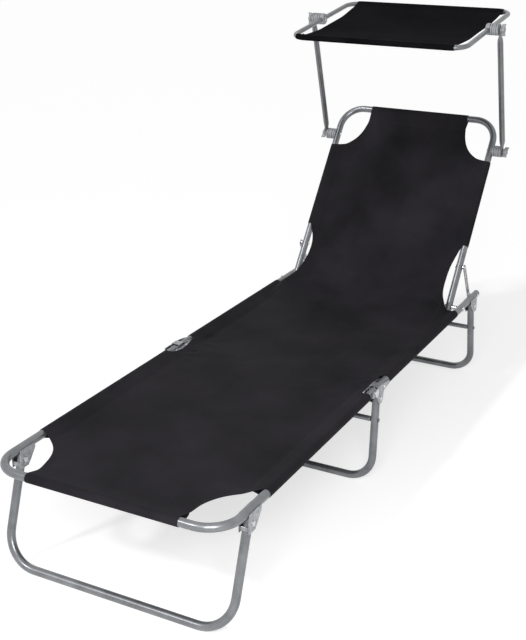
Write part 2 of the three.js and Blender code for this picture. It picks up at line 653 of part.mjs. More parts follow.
backOutline.quadraticCurveTo(-backNeckHalfWidth, (backNeckAt + backSleeveStart) / 2, -backNeckHalfWidth, backNeckAt);
backOutline.quadraticCurveTo(-backNeckHalfWidth, backNeckAt / 2, -creaseHalfWidth, creaseGap);
const backSling = sling(
  block(-backX, backX, creaseGap, backLength, -half, half),
  [
    sleeve(at(backX, backSleeveStart, 0), at(backX, backSleeveEnd, 0), acrossLeft, sleeveRadius, sleeveSeamReach),
    sleeve(at(-backX, backSleeveStart, 0), at(-backX, backSleeveEnd, 0), acrossRight, sleeveRadius, sleeveSeamReach),
    sleeve(at(-backTopSleeveHalf, backLength, 0), at(backTopSleeveHalf, backLength, 0), at(0, -1, 0),
      sleeveRadius, sleeveSeamReach),
  ],
  backOutline, backStations, tubeRadius,
);
addPiece("back_sling", backSling, blackFabric(), backGroup);

// Canopy arms: tubes pressed flat at both ends, in a group at the clamp on the back frame
const clampY = recliner + clampAlongBack * Math.cos(backTurn);
const clampZ = railHeight + clampAlongBack * Math.sin(backTurn);
const armGroup = addGroup(lounger, clampY, clampZ, armAngle);
const armStations = [-armFlatLength, armFlatLength, armFlatLength + armTaperLength,
  armLength - armFlatLength - armTaperLength, armLength - armFlatLength, armLength + armFlatLength];
const armBore = armTubeRadius - thinTubeWall;
const arm = tubeAlong(armStations.map((y) => at(0, y, 0)), upward, armTubeRadius, armBore);
const armPoints = arm.attributes.position;
for (let i = 0; i < armPoints.count; i += 1) {
  const fromEnd = Math.min(armPoints.getY(i), armLength - armPoints.getY(i));
  const inBore = Math.hypot(armPoints.getX(i), armPoints.getZ(i)) < armBore + thinTubeWall / 2;
  const flat = inBore ? [armSlit / 2 / armBore, (armFlatWidth / 2 - thinTubeWall) / armBore]
    : [armFlatThickness / 2 / armTubeRadius, armFlatWidth / 2 / armTubeRadius];
  if (fromEnd < armFlatLength + armTaperLength / 2) {
    armPoints.setX(i, armPoints.getX(i) * flat[0]);
    armPoints.setZ(i, armPoints.getZ(i) * flat[1]);
  }
}
const armHole = crossHole(boltHoleRadius, -overrun, overrun);
const armSolid = solidOf(arm).subtract(armHole).subtract(armHole.translate([0, armLength, 0]))
  .translate([armX, 0, 0]);
addPair("canopy_arm", armSolid, tubeSteel, armGroup);

// Canopy frame: a rounded loop whose two tube ends meet inside the rear sleeve
const armTurn = THREE.MathUtils.degToRad(armAngle);
const tiltY = clampY + armLength * Math.cos(armTurn);
const tiltZ = clampZ + armLength * Math.sin(armTurn);
const canopyGroup = addGroup(lounger, tiltY, tiltZ, canopyTilt);
const canopyStations = bentStations(
  [at(canopyButtGap / 2, canopyRearReach, 0), at(canopyX, canopyRearReach, 0), at(canopyX, -canopyFrontReach, 0),
    at(-canopyX, -canopyFrontReach, 0), at(-canopyX, canopyRearReach, 0), at(-canopyButtGap / 2, canopyRearReach, 0)],
  canopyBendRadius,
);
const canopyFrame = solidOf(tubeAlong(canopyStations, upward, canopyTubeRadius, canopyTubeRadius - thinTubeWall))
  .subtract(crossHole(boltHoleRadius, -canopyX - overrun, canopyX + overrun));
addPiece("canopy_frame", canopyFrame, tubeSteel(), canopyGroup);

// Canopy fabric: sleeves round the front and rear bars, and side edges that draw in or out
const canopySleeveRadius = canopyTubeRadius + clearance + sleeveWall;
const canopyHalf = canopyX - canopySleeveInset;
const canopySideEnd = 2 * canopySleeveRadius;
const canopyOutline = new THREE.Shape();
canopyOutline.moveTo(-canopyHalf, -canopyFrontReach - overrun);
canopyOutline.lineTo(canopyHalf, -canopyFrontReach - overrun);
canopyOutline.lineTo(canopyHalf, -canopyFrontReach + canopySideEnd);
canopyOutline.quadraticCurveTo(canopyHalf - canopyRightDraw, 0, canopyHalf, canopyRearReach - canopySideEnd);
canopyOutline.lineTo(canopyHalf, canopyRearReach + overrun);
canopyOutline.lineTo(-canopyHalf, canopyRearReach + overrun);
canopyOutline.lineTo(-canopyHalf, canopyRearReach - canopySideEnd);
canopyOutline.quadraticCurveTo(-canopyHalf + canopyLeftDraw, 0, -canopyHalf, -canopyFrontReach + canopySideEnd);
const barSleeve = (reach, inward) => sleeve(
  at(-canopyHalf, reach, 0), at(canopyHalf, reach, 0), inward, canopySleeveRadius, canopySeamReach,
).add(solidOf(tubeAlong(
  bentStations([at(-canopyX, 0, 0), at(-canopyX, reach, 0), at(canopyX, reach, 0), at(canopyX, 0, 0)],
    canopyBendRadius).slice(1, -1),
  upward, canopySleeveRadius,
)));
const canopySheetHalf = canopyX - canopyTubeRadius - clearance;
const canopyFabric = sling(
  block(-canopySheetHalf, canopySheetHalf, -canopyFrontReach, canopyRearReach, -half, half),
  [barSleeve(-canopyFrontReach, endward), barSleeve(canopyRearReach, at(0, -1, 0))],
  canopyOutline, canopyStations, canopyTubeRadius,
);
const buttPlug = block(-canopyButtGap, canopyButtGap, canopyRearReach - canopySleeveRadius,
  canopyRearReach + canopySleeveRadius, -canopySleeveRadius, canopySleeveRadius);
const rearBarRoom = solidOf(tubeAlong(
  [at(-canopyButtGap, canopyRearReach, 0), at(canopyButtGap, canopyRearReach, 0)], upward,
  canopyTubeRadius + clearance,
));
addPiece("canopy_fabric", canopyFabric.subtract(buttPlug.intersect(rearBarRoom)), blackFabric(), canopyGroup);

// Clamp at one end of an arm: a saddle with ribs on the tube, a disc on the arm, a bolt and a wing knob
function clampPieces(tubeX, radius) {
  const face = tubeX + radius;
  const armOutside = armX + armFlatThickness / 2 + clearance;
  const meet = (face + armInside) / 2;
  const wide = discDiameter / 2;
  const narrow = wide - discGrooveDepth;
  const rib = (armInside - meet) / 4;
  const steps = (from, to) => turnedPin([
    [wide, from, to - 2 * rib], [narrow, to - 2 * rib, to - rib], [wide, to - rib, to],
  ], discSides);
  const disc = (from, to) => solidOf(steps(from, to)).subtract(crossHole(boltHoleRadius, from - overrun, to + overrun));
  const head = tubeX - radius - clearance;
  const knobEnd = armOutside + knobHubLength;
  const wingEnd = armOutside + knobWingDepth;
  const boltEnd = armOutside + boltInKnob;
  const bolt = solidOf(turnedPin([[boltHeadDiameter / 2, head - boltHeadHeight, head], [boltDiameter / 2, head, boltEnd]]));
  const wings = new THREE.ExtrudeGeometry(new THREE.Shape([
    [armOutside, -knobHubDiameter / 2], [armOutside, knobHubDiameter / 2], [wingEnd - knobHubLength, knobWingSpan / 2],
    [wingEnd, knobWingSpan / 2], [knobEnd, knobHubDiameter / 2], [knobEnd, -knobHubDiameter / 2],
    [wingEnd, -knobWingSpan / 2], [wingEnd - knobHubLength, -knobWingSpan / 2],
  ].map(([x, z]) => new THREE.Vector2(x, z))), {
    depth: knobWingThickness, bevelEnabled: false,
  }).rotateX(Math.PI / 2).translate(0, knobWingThickness / 2, 0);
  const knob = solidOf(turnedPin([[knobHubDiameter / 2, armOutside, knobEnd]], discSides)).add(solidOf(wings))
    .subtract(crossHole(boltHoleRadius, armOutside - overrun, boltEnd + clearance));
  return { tubeSaddle: disc(tubeX, meet - clearance), armDisc: disc(meet, armInside), bolt, knob };
}

const lower = clampPieces(backX, tubeRadius);
const lowerGroup = addGroup(backGroup, clampAlongBack, 0);
const backTubeRoom = solidOf(
  tubeAlong([at(backX, -overrun, 0), at(backX, overrun, 0)], upward, tubeRadius + clearance),
);
addPair("lower_clamp_disc", lower.tubeSaddle.subtract(backTubeRoom), greyPlastic, lowerGroup);
addPair("lower_clamp_bolt", lower.bolt, brightSteel, lowerGroup);
addPair("lower_wing_knob", lower.knob, greyPlastic, lowerGroup);
addPair("arm_lower_disc", lower.armDisc, greyPlastic, armGroup);

const upper = clampPieces(canopyX, canopyTubeRadius);
const canopyTubeRoom = solidOf(
  tubeAlong([at(canopyX, -overrun, 0), at(canopyX, overrun, 0)], upward, canopyTubeRadius + clearance),
);
addPair("upper_clamp_disc", upper.tubeSaddle.subtract(canopyTubeRoom), greyPlastic, canopyGroup);
addPair("upper_clamp_bolt", upper.bolt, brightSteel, canopyGroup);
addPair("upper_wing_knob", upper.knob, greyPlastic, canopyGroup);
addPair("arm_upper_disc", upper.armDisc.translate([0, armLength, 0]), greyPlastic, armGroup);

// The origin lies on the ground, under the middle of the whole lounger
lounger.updateMatrixWorld(true);
const bounds = new THREE.Box3().setFromObject(lounger, true);
const middle = bounds.getCenter(new THREE.Vector3());
lounger.position.set(-middle.x, -middle.y, -bounds.min.z);
lounger.updateMatrixWorld(true);

export default lounger;
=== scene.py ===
# %% [markdown]
# # A folding sun lounger with a small canopy
#
# The real lounger is a bed of three tubular steel frames that fold on each other. A black woven sling is
# stretched between the tubes, three U-shaped legs stand under them, and a small canopy is clamped to the
# backrest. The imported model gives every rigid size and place, so this lesson builds the visible surfaces
# around it: smooth bent tubes, domed rivets, ribbed clamps and tightly stretched cloth.

import json
from math import asin, atan2, cos, hypot, pi, radians, sin, sqrt, tan

import bpy
from mathutils import Matrix, Vector, noise

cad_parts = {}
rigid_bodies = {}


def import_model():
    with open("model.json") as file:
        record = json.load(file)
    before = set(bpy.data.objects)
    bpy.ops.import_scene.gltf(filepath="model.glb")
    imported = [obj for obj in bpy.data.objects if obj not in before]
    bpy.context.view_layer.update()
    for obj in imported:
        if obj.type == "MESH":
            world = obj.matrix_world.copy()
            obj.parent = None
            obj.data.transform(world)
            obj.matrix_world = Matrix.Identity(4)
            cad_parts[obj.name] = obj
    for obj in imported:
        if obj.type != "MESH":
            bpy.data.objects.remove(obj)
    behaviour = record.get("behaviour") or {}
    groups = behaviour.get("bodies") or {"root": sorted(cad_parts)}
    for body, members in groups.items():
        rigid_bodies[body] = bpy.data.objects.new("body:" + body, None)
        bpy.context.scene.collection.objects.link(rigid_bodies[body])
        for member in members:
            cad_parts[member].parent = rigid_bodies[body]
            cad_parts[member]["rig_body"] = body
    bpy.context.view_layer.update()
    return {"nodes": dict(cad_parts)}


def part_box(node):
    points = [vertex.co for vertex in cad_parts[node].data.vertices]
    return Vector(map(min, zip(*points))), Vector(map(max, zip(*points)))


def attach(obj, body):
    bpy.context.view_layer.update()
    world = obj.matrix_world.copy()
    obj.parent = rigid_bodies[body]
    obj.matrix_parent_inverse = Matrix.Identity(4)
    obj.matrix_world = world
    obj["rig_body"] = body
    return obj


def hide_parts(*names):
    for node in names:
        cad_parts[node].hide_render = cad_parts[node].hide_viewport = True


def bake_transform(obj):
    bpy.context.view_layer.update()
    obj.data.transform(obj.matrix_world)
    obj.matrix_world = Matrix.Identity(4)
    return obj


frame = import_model()
bpy.ops.object.select_all(action="DESELECT")

# %% [markdown]
# ## Sizes
#
# These sizes, in metres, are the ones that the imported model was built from. Three small functions turn them
# into points on the flat bed, the leaning backrest and the canopy. The bed's zero lies on the centre line of
# the foot bar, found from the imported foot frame.

# %% Sizes of the frame
TUBE = 0.0095  # radius of the frame's tubes
RAIL_X = 0.275  # from the middle to a rail's centre line
FOOT_FRAME_END = 0.7095
HINGE_Y = 0.724
SEAT_RAIL_START = 0.7385
PIVOT_Y = 1.330
RAIL_END = 1.473
BACK_X = 0.242
BACK_START = -0.011  # the back's tube begins just below its pivot
BACK_LENGTH = 0.576
BACK_TURN = radians(53)
CLAMP_UP = 0.484  # from the backrest's pivot up to its clamps
ARM_X = 0.278
ARM_LENGTH = 0.374
ARM_TURN = radians(107.5)
CANOPY_TUBE = 0.0065  # radius of the canopy's tube
CANOPY_X = 0.2485
CANOPY_FRONT = -0.2045
CANOPY_REAR = 0.198
CANOPY_TURN = radians(7.6)

foot_low, foot_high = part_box("foot_frame")
bed_zero = Vector((0, foot_low.y + TUBE, (foot_low.z + foot_high.z) / 2))


def on_bed(x, y, z=0.0):
    """A point beside the foot bar's centre: y towards the head, z above the rails' centre line."""
    return bed_zero + Vector((x, y, z))


def on_back(x, up, out=0.0):
    """A point on the backrest: up from its pivot, out towards the person who sits."""
    y = up * cos(BACK_TURN) - out * sin(BACK_TURN)
    return on_bed(x, PIVOT_Y + y, up * sin(BACK_TURN) + out * cos(BACK_TURN))


def lean(turn):
    """The direction of a line that rises by a turn from the bed's, towards the head."""
    return Vector((0, cos(turn), sin(turn)))


clamp_centre = on_back(0, CLAMP_UP)
tilt_centre = clamp_centre + lean(ARM_TURN) * ARM_LENGTH


def on_canopy(x, y, z=0.0):
    """A point on the canopy's plane, from the line through its two upper bolts."""
    above = Vector((0, -sin(CANOPY_TURN), cos(CANOPY_TURN)))
    return tilt_centre + Vector((x, 0, 0)) + lean(CANOPY_TURN) * y + above * z


print("foot bar", tuple(round(v, 4) for v in bed_zero), "canopy", tuple(round(v, 4) for v in tilt_centre))

# %% [markdown]
# ## Camera
#
# The photograph was taken from the foot end, a little to the right and above, with a fairly long lens: the
# two rails run together slowly. These values come from matching the corners of the frame in the picture.


# %% Camera
def add_object(name, data):
    """An object for a camera, a lamp or a curve, in the scene."""
    made = bpy.data.objects.new(name, data)
    bpy.context.scene.collection.objects.link(made)
    return made


camera = add_object("camera", bpy.data.cameras.new("camera"))
camera.data.lens = 64.35
camera.data.sensor_width = 36
camera.location = on_bed(1.1941, -1.5727, 1.1359)
camera.rotation_euler = (radians(90 - 21.34), 0, radians(28))
bpy.context.scene.camera = camera
print("camera at", tuple(round(v, 3) for v in camera.location))

# %% [markdown]
# ## Finishes
#
# Every finish starts from what the real surface is and how it was made. Colours are written as on a screen,
# in sRGB, and one function turns them to the linear values that the shader wants. A second one adds a node
# with its settings, values and links. Most finishes end alike: one pattern mixes two tones, one spreads the
# roughness and one gives a fine relief, so `wear` wires the three to the main shader.


# %% Colour and node helpers
def linear(hex_colour):
    """An sRGB colour such as 'a0b1c2' as linear red, green, blue and alpha."""
    shares = [int(hex_colour[i : i + 2], 16) / 255 for i in (0, 2, 4)]
    return [c / 12.92 if c <= 0.04045 else ((c + 0.055) / 1.055) ** 2.4 for c in shares] + [1.0]


def add_node(holder, kind, settings={}, values={}, links={}, give=0):
    """Adds one node: settings are its own fields, values its plain sockets, links the sockets that feed it.
    It hands back the output that give names."""
    made = holder.node_tree.nodes.new("ShaderNode" + kind)
    for field, value in settings.items():
        setattr(made, field, value)
    for socket, value in values.items():
        made.inputs[socket].default_value = value
    for socket, source in links.items():
        holder.node_tree.links.new(source, made.inputs[socket])
    return made.outputs[give]


def new_finish(name, **values):
    """A material whose main shader has these plain values, set by name with spaces for underscores."""
    material = bpy.data.materials.new(name)
    material.use_nodes = True
    for socket, value in values.items():
        material.node_tree.nodes["Principled BSDF"].inputs[socket.replace("_", " ")].default_value = value
    return material


def wear(material, tones, rough=None, relief=None):
    """Wires patterns to the main shader: tones are a pattern, a dark and a pale colour and where each begins,
    rough a pattern and the two ends of the roughness, relief a pattern, a strength and a depth."""
    sockets, link = material.node_tree.nodes["Principled BSDF"].inputs, material.node_tree.links.new
    pattern, *colours, low, high = tones
    mixed = add_node(material, "ValToRGB", links={"Fac": pattern})
    for stop, colour, position in zip(mixed.node.color_ramp.elements, colours, (low, high)):
        stop.color, stop.position = linear(colour), position
    link(mixed, sockets["Base Color"])
    if rough:
        pattern, low, high = rough
        spread = add_node(material, "MapRange", {}, {"To Min": low, "To Max": high}, {"Value": pattern})
        link(spread, sockets["Roughness"])
    if relief:
        pattern, strength, depth = relief
        bump = add_node(material, "Bump", {}, {"Strength": strength, "Distance": depth}, {"Height": pattern})
        link(bump, sockets["Normal"])


def solid_finish(name, tones, coarse, rough, fine=None, strength=0.0, **values):
    """A finish on Object coordinates: a coarse noise mixes two tones and spreads the roughness, and a
    fine one gives a relief a tenth of a millimetre deep. A noise's scale is in grains per metre."""
    material = new_finish(name, **values)
    place = {"Vector": add_node(material, "TexCoord", give="Object")}
    clouds = add_node(material, "TexNoise", {}, coarse, place)
    grain = fine and add_node(material, "TexNoise", {}, fine, place)
    wear(material, (clouds, *tones, 0.3, 0.7), rough and (clouds, *rough), fine and (grain, strength, 0.0001))
    print("finish", name)
    return material


# %% [markdown]
# ### Powder-coated steel tube
#
# The tubes are mild steel, bent and then powder coated in silver grey. The baked powder flows into a satin
# skin with a faint orange peel of about a millimetre and a half, and metal flakes give it a soft shine.

# %% Silver powder coat
powder_coat = solid_finish(
    "silver_powder_coat", ("6d6f72", "828487"), {"Scale": 28.0, "Detail": 4.0}, (0.24, 0.34),
    {"Scale": 1 / 0.0015, "Detail": 2.0}, 0.12, Metallic=0.6, Roughness=0.3)

# %% [markdown]
# ### Zinc-plated pressings and rivets
#
# Brackets and links are stamped from sheet and zinc plated: a metal with pale crystal patches a few
# millimetres wide and fine rolling lines. Rivets, pins and bolts are turned and plated, so they are brighter.

# %% Zinc plate and bright zinc
zinc_plate = new_finish("zinc_plated_pressing", Metallic=1.0, Roughness=0.34)
place = {"Vector": add_node(zinc_plate, "TexCoord", give="Object")}
crystals = add_node(zinc_plate, "TexVoronoi", {}, {"Scale": 1 / 0.006}, place, "Color")
rolled = add_node(zinc_plate, "TexNoise", {}, {"Scale": 420.0, "Detail": 3.0}, place)
wear(zinc_plate, (crystals, "85878a", "a9abae", 0.1, 0.9), (rolled, 0.26, 0.46), (rolled, 0.2, 0.0001))

bright_zinc = solid_finish(
    "bright_zinc_fastener", ("b6b7ba", "d4d5d8"), {"Scale": 300.0, "Detail": 4.0}, (0.16, 0.34),
    Metallic=1.0, Roughness=0.22)

# %% [markdown]
# ### Moulded grey plastic
#
# Clamps, knobs and end caps are injection-moulded polyamide. The mould was spark eroded, which leaves a
# fine matt grain, and the grey carries a trace of gloss where hands have polished it.

# %% Grey polyamide
grey_polyamide = solid_finish(
    "moulded_grey_polyamide", ("949699", "a5a7aa"), {"Scale": 60.0, "Detail": 3.0}, (0.42, 0.6),
    {"Scale": 1 / 0.0008, "Detail": 2.0}, 0.25, Roughness=0.5, IOR=1.53)

# %% [markdown]
# ### Black sling cloth
#
# The sling is polyester in a plain weave, coated on the back. Real threads lie about 0.8 mm apart, too fine
# for this picture, so they are drawn 1.6 mm apart. The pattern follows the cloth's own UV map, which holds
# metres of flat cloth, so it wraps round the tubes as woven cloth does. Dust and use leave faint clouds. The
# canopy's cloth is the same weave with darker tones, which are painted shade for the weaker light on the
# canopy. The seams are sewn with a bonded black thread.

# %% Woven polyester and thread
THREAD = 0.0016


def woven_polyester(name, dark, pale, sheen, gloss):
    """Plain weave: two crossing waves for the threads, slubs for their thickness and clouds for wear."""
    cloth = new_finish(
        name, Roughness=0.7, Sheen_Weight=sheen, Sheen_Roughness=0.4, IOR=1.4, Specular_IOR_Level=gloss
    )
    flat = {"Vector": add_node(cloth, "UVMap", {"uv_map": "flat_cloth"})}
    once = {"Scale": 2 * pi / 20 / THREAD}  # one wave in a thread's width
    warp = add_node(cloth, "TexWave", {"bands_direction": "X"}, once, flat, "Fac")
    weft = add_node(cloth, "TexWave", {"bands_direction": "Y"}, once, flat, "Fac")
    threads = add_node(cloth, "Math", {"operation": "MAXIMUM"}, {}, {0: warp, 1: weft})
    clouds = add_node(cloth, "TexNoise", {}, {"Scale": 5.0, "Detail": 4.0, "Roughness": 0.55}, flat)
    slubs = add_node(cloth, "TexNoise", {}, {"Scale": 140.0, "Detail": 2.0}, flat)
    shade = add_node(cloth, "Math", {"operation": "MULTIPLY_ADD"}, {1: 0.25}, {0: threads, 2: clouds})
    relief = add_node(cloth, "Math", {"operation": "MULTIPLY_ADD"}, {1: 0.6}, {0: slubs, 2: threads})
    wear(cloth, (shade, dark, pale, 0.42, 0.9), (clouds, 0.6, 0.8), (relief, 0.5, 0.0003))
    print("finish", name)
    return cloth


sling_cloth = woven_polyester("black_woven_polyester", "161518", "2d2b2f", 0.008, 0.05)
# The canopy's cloth gets darker tones than the sling's: painted shade for the weaker light that reaches the
# canopy.
canopy_weave_painted_shade = woven_polyester("black_woven_shade_cloth", "09080a", "1b1a1d", 0.0, 0.008)
TWIST = {"Scale": 1 / 0.0009, "Detail": 2.0}
thread_black = solid_finish(
    "black_bonded_thread", ("131214", "262427"), TWIST, None, TWIST, 0.4, Roughness=0.6, Sheen_Weight=0.02)

# %% [markdown]
# ## Workshop helpers
#
# Nothing with a window is needed: each piece starts from a primitive, is shaped in edit mode and is placed
# by its own vertices. `dress` gives a finished piece the finish of its look, a pair of a finish and a slot's
# name, and hands it to the rigid body of the imported node that it stands for. The lounger has a right and a
# left side, so `other_side` copies a piece across the middle.

# %% Looks
TUBE_STEEL = (powder_coat, "tube_steel")
BRIGHT_STEEL = (bright_zinc, "bright_steel")
GREY_PLASTIC = (grey_polyamide, "grey_plastic")
SLING_FABRIC = (sling_cloth, "sling_fabric")
CANOPY_FABRIC_PAINTED_SHADE = (canopy_weave_painted_shade, "sling_fabric")


# %% Pick, settle and join
def pick(*pieces):
    """Selects these pieces alone, the first one active. With none, nothing stays selected."""
    bpy.ops.object.select_all(action="DESELECT")
    for piece in pieces:
        piece.select_set(True)
        bpy.context.view_layer.objects.active = pieces[0]


def settle(name):
    """Names the piece at hand and writes its place, turn and size into its vertices."""
    piece = bpy.context.object
    piece.name = piece.data.name = name
    bpy.ops.object.transform_apply(location=True, rotation=True, scale=True)
    return piece


def join(name, *pieces):
    """Makes several pieces one, under a new name."""
    pick(*pieces)
    bpy.ops.object.join()
    return settle(name)


def edit(select="SELECT"):
    """Goes into edit mode with the whole mesh selected, or with nothing."""
    bpy.ops.object.mode_set(mode="EDIT")
    bpy.ops.mesh.select_all(action=select)


def leave_edit():
    bpy.ops.object.mode_set(mode="OBJECT")


def extrude(step):
    """Draws the selected faces or edges out by a step."""
    bpy.ops.mesh.extrude_region_move(TRANSFORM_OT_translate={"value": step})


def squeeze(value, centre):
    """Scales what is selected about a point."""
    bpy.ops.transform.resize(value=value, center_override=centre)


def facing(direction):
    """The turn that points a primitive's own axis along a direction."""
    return direction.to_track_quat("Z", "Y").to_euler()


# %% Modifiers and normals
def modify(piece, kind, **settings):
    """Adds a modifier with its settings and leaves it live."""
    made = piece.modifiers.new(kind.lower(), kind)
    for field, value in settings.items():
        setattr(made, field, value)


def apply_modifiers(piece):
    pick(piece)
    for modifier in list(piece.modifiers):
        bpy.ops.object.modifier_apply(modifier=modifier.name)


def face_outwards(piece):
    """Merges double points and turns every face outwards."""
    pick(piece)
    edit()
    bpy.ops.mesh.remove_doubles(threshold=0.00001)
    bpy.ops.mesh.normals_make_consistent(inside=False)
    leave_edit()
    return piece


# %% Dress and mirror
def dress(piece, look, *nodes, smooth=40):
    """Gives the piece its finish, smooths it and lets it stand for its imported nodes."""
    finish, slot_name = look
    piece.data.materials.clear()
    piece.data.materials.append(finish)
    pick(piece)
    bpy.ops.object.shade_smooth_by_angle(angle=radians(smooth))
    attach(piece, frame["nodes"][nodes[0]]["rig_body"])
    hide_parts(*nodes)
    print(piece.name, len(piece.data.polygons), "faces")


def other_side(piece):
    """A copy of a right-hand piece, mirrored across the middle of the lounger."""
    pick(piece)
    bpy.ops.object.duplicate()
    squeeze((-1, 1, 1), (0, 0, 0))
    return face_outwards(settle(piece.name.replace("right", "left")))


def dress_pair(piece, look, node, smooth=40):
    """Dresses a right-hand piece and its mirrored copy."""
    copy = other_side(piece)
    dress(piece, look, f"{node}_right", smooth=smooth)
    dress(copy, look, f"{node}_left", smooth=smooth)


# %% [markdown]
# ## Bent tubes
#
# A tube bender holds a straight tube, draws it round a die and moves on. The same steps work on a mesh: a
# circle is extruded along each straight run and spun round each bend, and Solidify then gives the open tube
# its wall. A curve with a round bevel would look the same, but its bends are harder to keep at a radius.


# %% The tube bender
def bent_tube(name, corners, bend_radius, radius, wall=0.001, sides=28):
    """A tube along straight lines from corner to corner, bent round each corner."""
    pick()
    start, step = corners[0], (corners[1] - corners[0]).normalized()
    bpy.ops.mesh.primitive_circle_add(vertices=sides, radius=radius, location=start, rotation=facing(step))
    tube = settle(name)
    edit()
    here = start
    for before, corner, after in zip(corners, corners[1:], corners[2:]):
        into, out = (corner - before).normalized(), (after - corner).normalized()
        turn = into.angle(out)
        bend_start = corner - into * bend_radius * tan(turn / 2)
        inward = (out - into * into.dot(out)).normalized()
        extrude(bend_start - here)
        bpy.ops.mesh.spin(
            steps=12, angle=turn, center=bend_start + inward * bend_radius, axis=out.cross(into).normalized()
        )
        here = corner + out * bend_radius * tan(turn / 2)
    extrude(corners[-1] - here)
    leave_edit()
    face_outwards(tube)
    modify(tube, "SOLIDIFY", thickness=wall, offset=-1)
    apply_modifiers(tube)
    return tube


# %% Foot frame, seat rails and back frame
def u_shape(place, x, start, end):
    """Corners of a U, along -x from start to end, across, and back along x."""
    return [place(-x, start), place(-x, end), place(x, end), place(x, start)]


foot_frame = bent_tube("foot_frame_tube", u_shape(on_bed, RAIL_X, FOOT_FRAME_END, 0), 0.068, TUBE)
dress(foot_frame, TUBE_STEEL, "foot_frame")
rail_line = [on_bed(RAIL_X, SEAT_RAIL_START), on_bed(RAIL_X, RAIL_END)]
dress_pair(bent_tube("seat_rail_tube_right", rail_line, 0, TUBE), TUBE_STEEL, "seat_rail")
back_frame = bent_tube("back_frame_tube", u_shape(on_back, BACK_X, BACK_START, BACK_LENGTH), 0.064, TUBE)
dress(back_frame, TUBE_STEEL, "back_frame")

# %% [markdown]
# ## Legs and crossbars
#
# Each leg is one tube bent into a U that hangs from two rivets below the rails. The foot leg leans forward,
# the rear leg backwards and the middle leg stands almost upright. The two legs near the seat carry a thin
# crossbar, a small tube whose ends are riveted through the leg. A crossbar, like every rivet, pin and bolt
# here, is turned: a disc is extruded along its axis and scaled from ring to ring.

# %% Turned pieces
ACROSS, ALONG_BED = Vector((1, 0, 0)), Vector((0, 1, 0))


def turned(name, centre, rings, axis=ACROSS, sides=32):
    """A solid turned about a line through centre. Each ring is how far along the axis, and its radius."""
    pick()
    bpy.ops.mesh.primitive_circle_add(
        vertices=sides, radius=rings[0][1], fill_type="NGON", location=centre + axis * rings[0][0],
        rotation=facing(axis),
    )
    piece = settle(name)
    edit()
    for (place, radius), (next_place, next_radius) in zip(rings, rings[1:]):
        extrude(axis * (next_place - place))
        squeeze([1 if part else next_radius / radius for part in axis], centre + axis * next_place)
    leave_edit()
    return face_outwards(piece)


def dome(start, radius, height):
    """Rings of a rivet's rounded head, from its seat outwards."""
    return [(start + height * up, radius * out) for up, out in
            ((0, 1), (0.35, 1), (0.62, 0.9), (0.84, 0.7), (0.96, 0.42), (1, 0.12))]


def backwards(rings):
    """The same rings for the other end of a pin."""
    return [(-place, radius) for place, radius in reversed(rings)]


# %% The three legs
CLEAR = 0.0003  # what a rivet's head or a collar stands off its tube
LEG_PIVOT_DROP = 0.024
LEG_DROP = 0.224 - TUBE
LEG_PAST_PIVOT = 0.008


def leg(name, pivot_y, splay, bend_radius, crossbar_drop=None):
    """A U-shaped leg that leans by its splay, and its crossbar."""
    length = hypot(splay, LEG_DROP)
    down = Vector((0, splay, -LEG_DROP)) / length
    pivot = on_bed(0, pivot_y, -LEG_PIVOT_DROP)
    side = Vector((RAIL_X, 0, 0))
    corners = [pivot - side - down * LEG_PAST_PIVOT, pivot - side + down * length,
               pivot + side + down * length, pivot + side - down * LEG_PAST_PIVOT]
    dress(bent_tube(f"{name}_tube", corners, bend_radius, TUBE), TUBE_STEEL, name)
    if crossbar_drop:
        face, outside = RAIL_X - TUBE, RAIL_X + TUBE + CLEAR
        end = [(face - 0.004, 0.0065), (face - CLEAR, 0.0058), (face - CLEAR, 0.0025), (outside, 0.0025)]
        end += dome(outside, 0.005, 0.002)
        bar = turned(f"{name}_crossbar_tube", pivot + down * crossbar_drop, backwards(end) + end, sides=24)
        dress(bar, TUBE_STEEL, f"{name}_crossbar")
    print(name, "tube", round(length, 4), "long from pivot to floor")


leg("foot_leg", 0.095, -0.074, 0.074)
leg("middle_leg", 0.729, -0.014, 0.062, 0.057)
leg("rear_leg", 1.429, 0.040, 0.062, 0.073)

# %% [markdown]
# ## Rivets, pins and bolts
#
# A rivet has a formed head on one side and a rolled head on the other. All of them run across the lounger,
# so each is turned about a line along X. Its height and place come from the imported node's box, and its
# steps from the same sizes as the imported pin: the head, the shank and the collar between two tubes.


# %% Rivets through the brackets
def fastener(piece_name, node, x, rings):
    """A turned steel piece and its copy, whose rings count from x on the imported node's centre line."""
    low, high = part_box(f"{node}_right")
    centre = Vector((x, (low.y + high.y) / 2, (low.z + high.z) / 2))
    dress_pair(turned(piece_name, centre, rings), BRIGHT_STEEL, node)


GRIP = TUBE + 0.0026
for node, radius, height in (
    ("foot_section_rivet", 0.010, 0.003), ("seat_section_rivet", 0.0045, 0.002),
    ("middle_leg_rivet", 0.006, 0.002), ("foot_leg_rivet", 0.006, 0.002), ("rear_leg_rivet", 0.006, 0.002),
):
    shank = [(-GRIP, 0.003), (GRIP, 0.003)]
    rings = backwards(dome(GRIP, 0.006, 0.002)) + shank + dome(GRIP, radius, height)
    fastener(f"{node}_head_right", node, RAIL_X, rings)

# %% Backrest pivots and link pins
BACK_IN, BACK_OUT = BACK_X - TUBE - CLEAR, BACK_X + TUBE + CLEAR
RAIL_IN, RAIL_OUT = RAIL_X - TUBE - CLEAR, RAIL_X + TUBE + CLEAR
LINK_IN = (BACK_X + RAIL_X) / 2 - 0.0025
LINK_OUT = LINK_IN + 0.0025

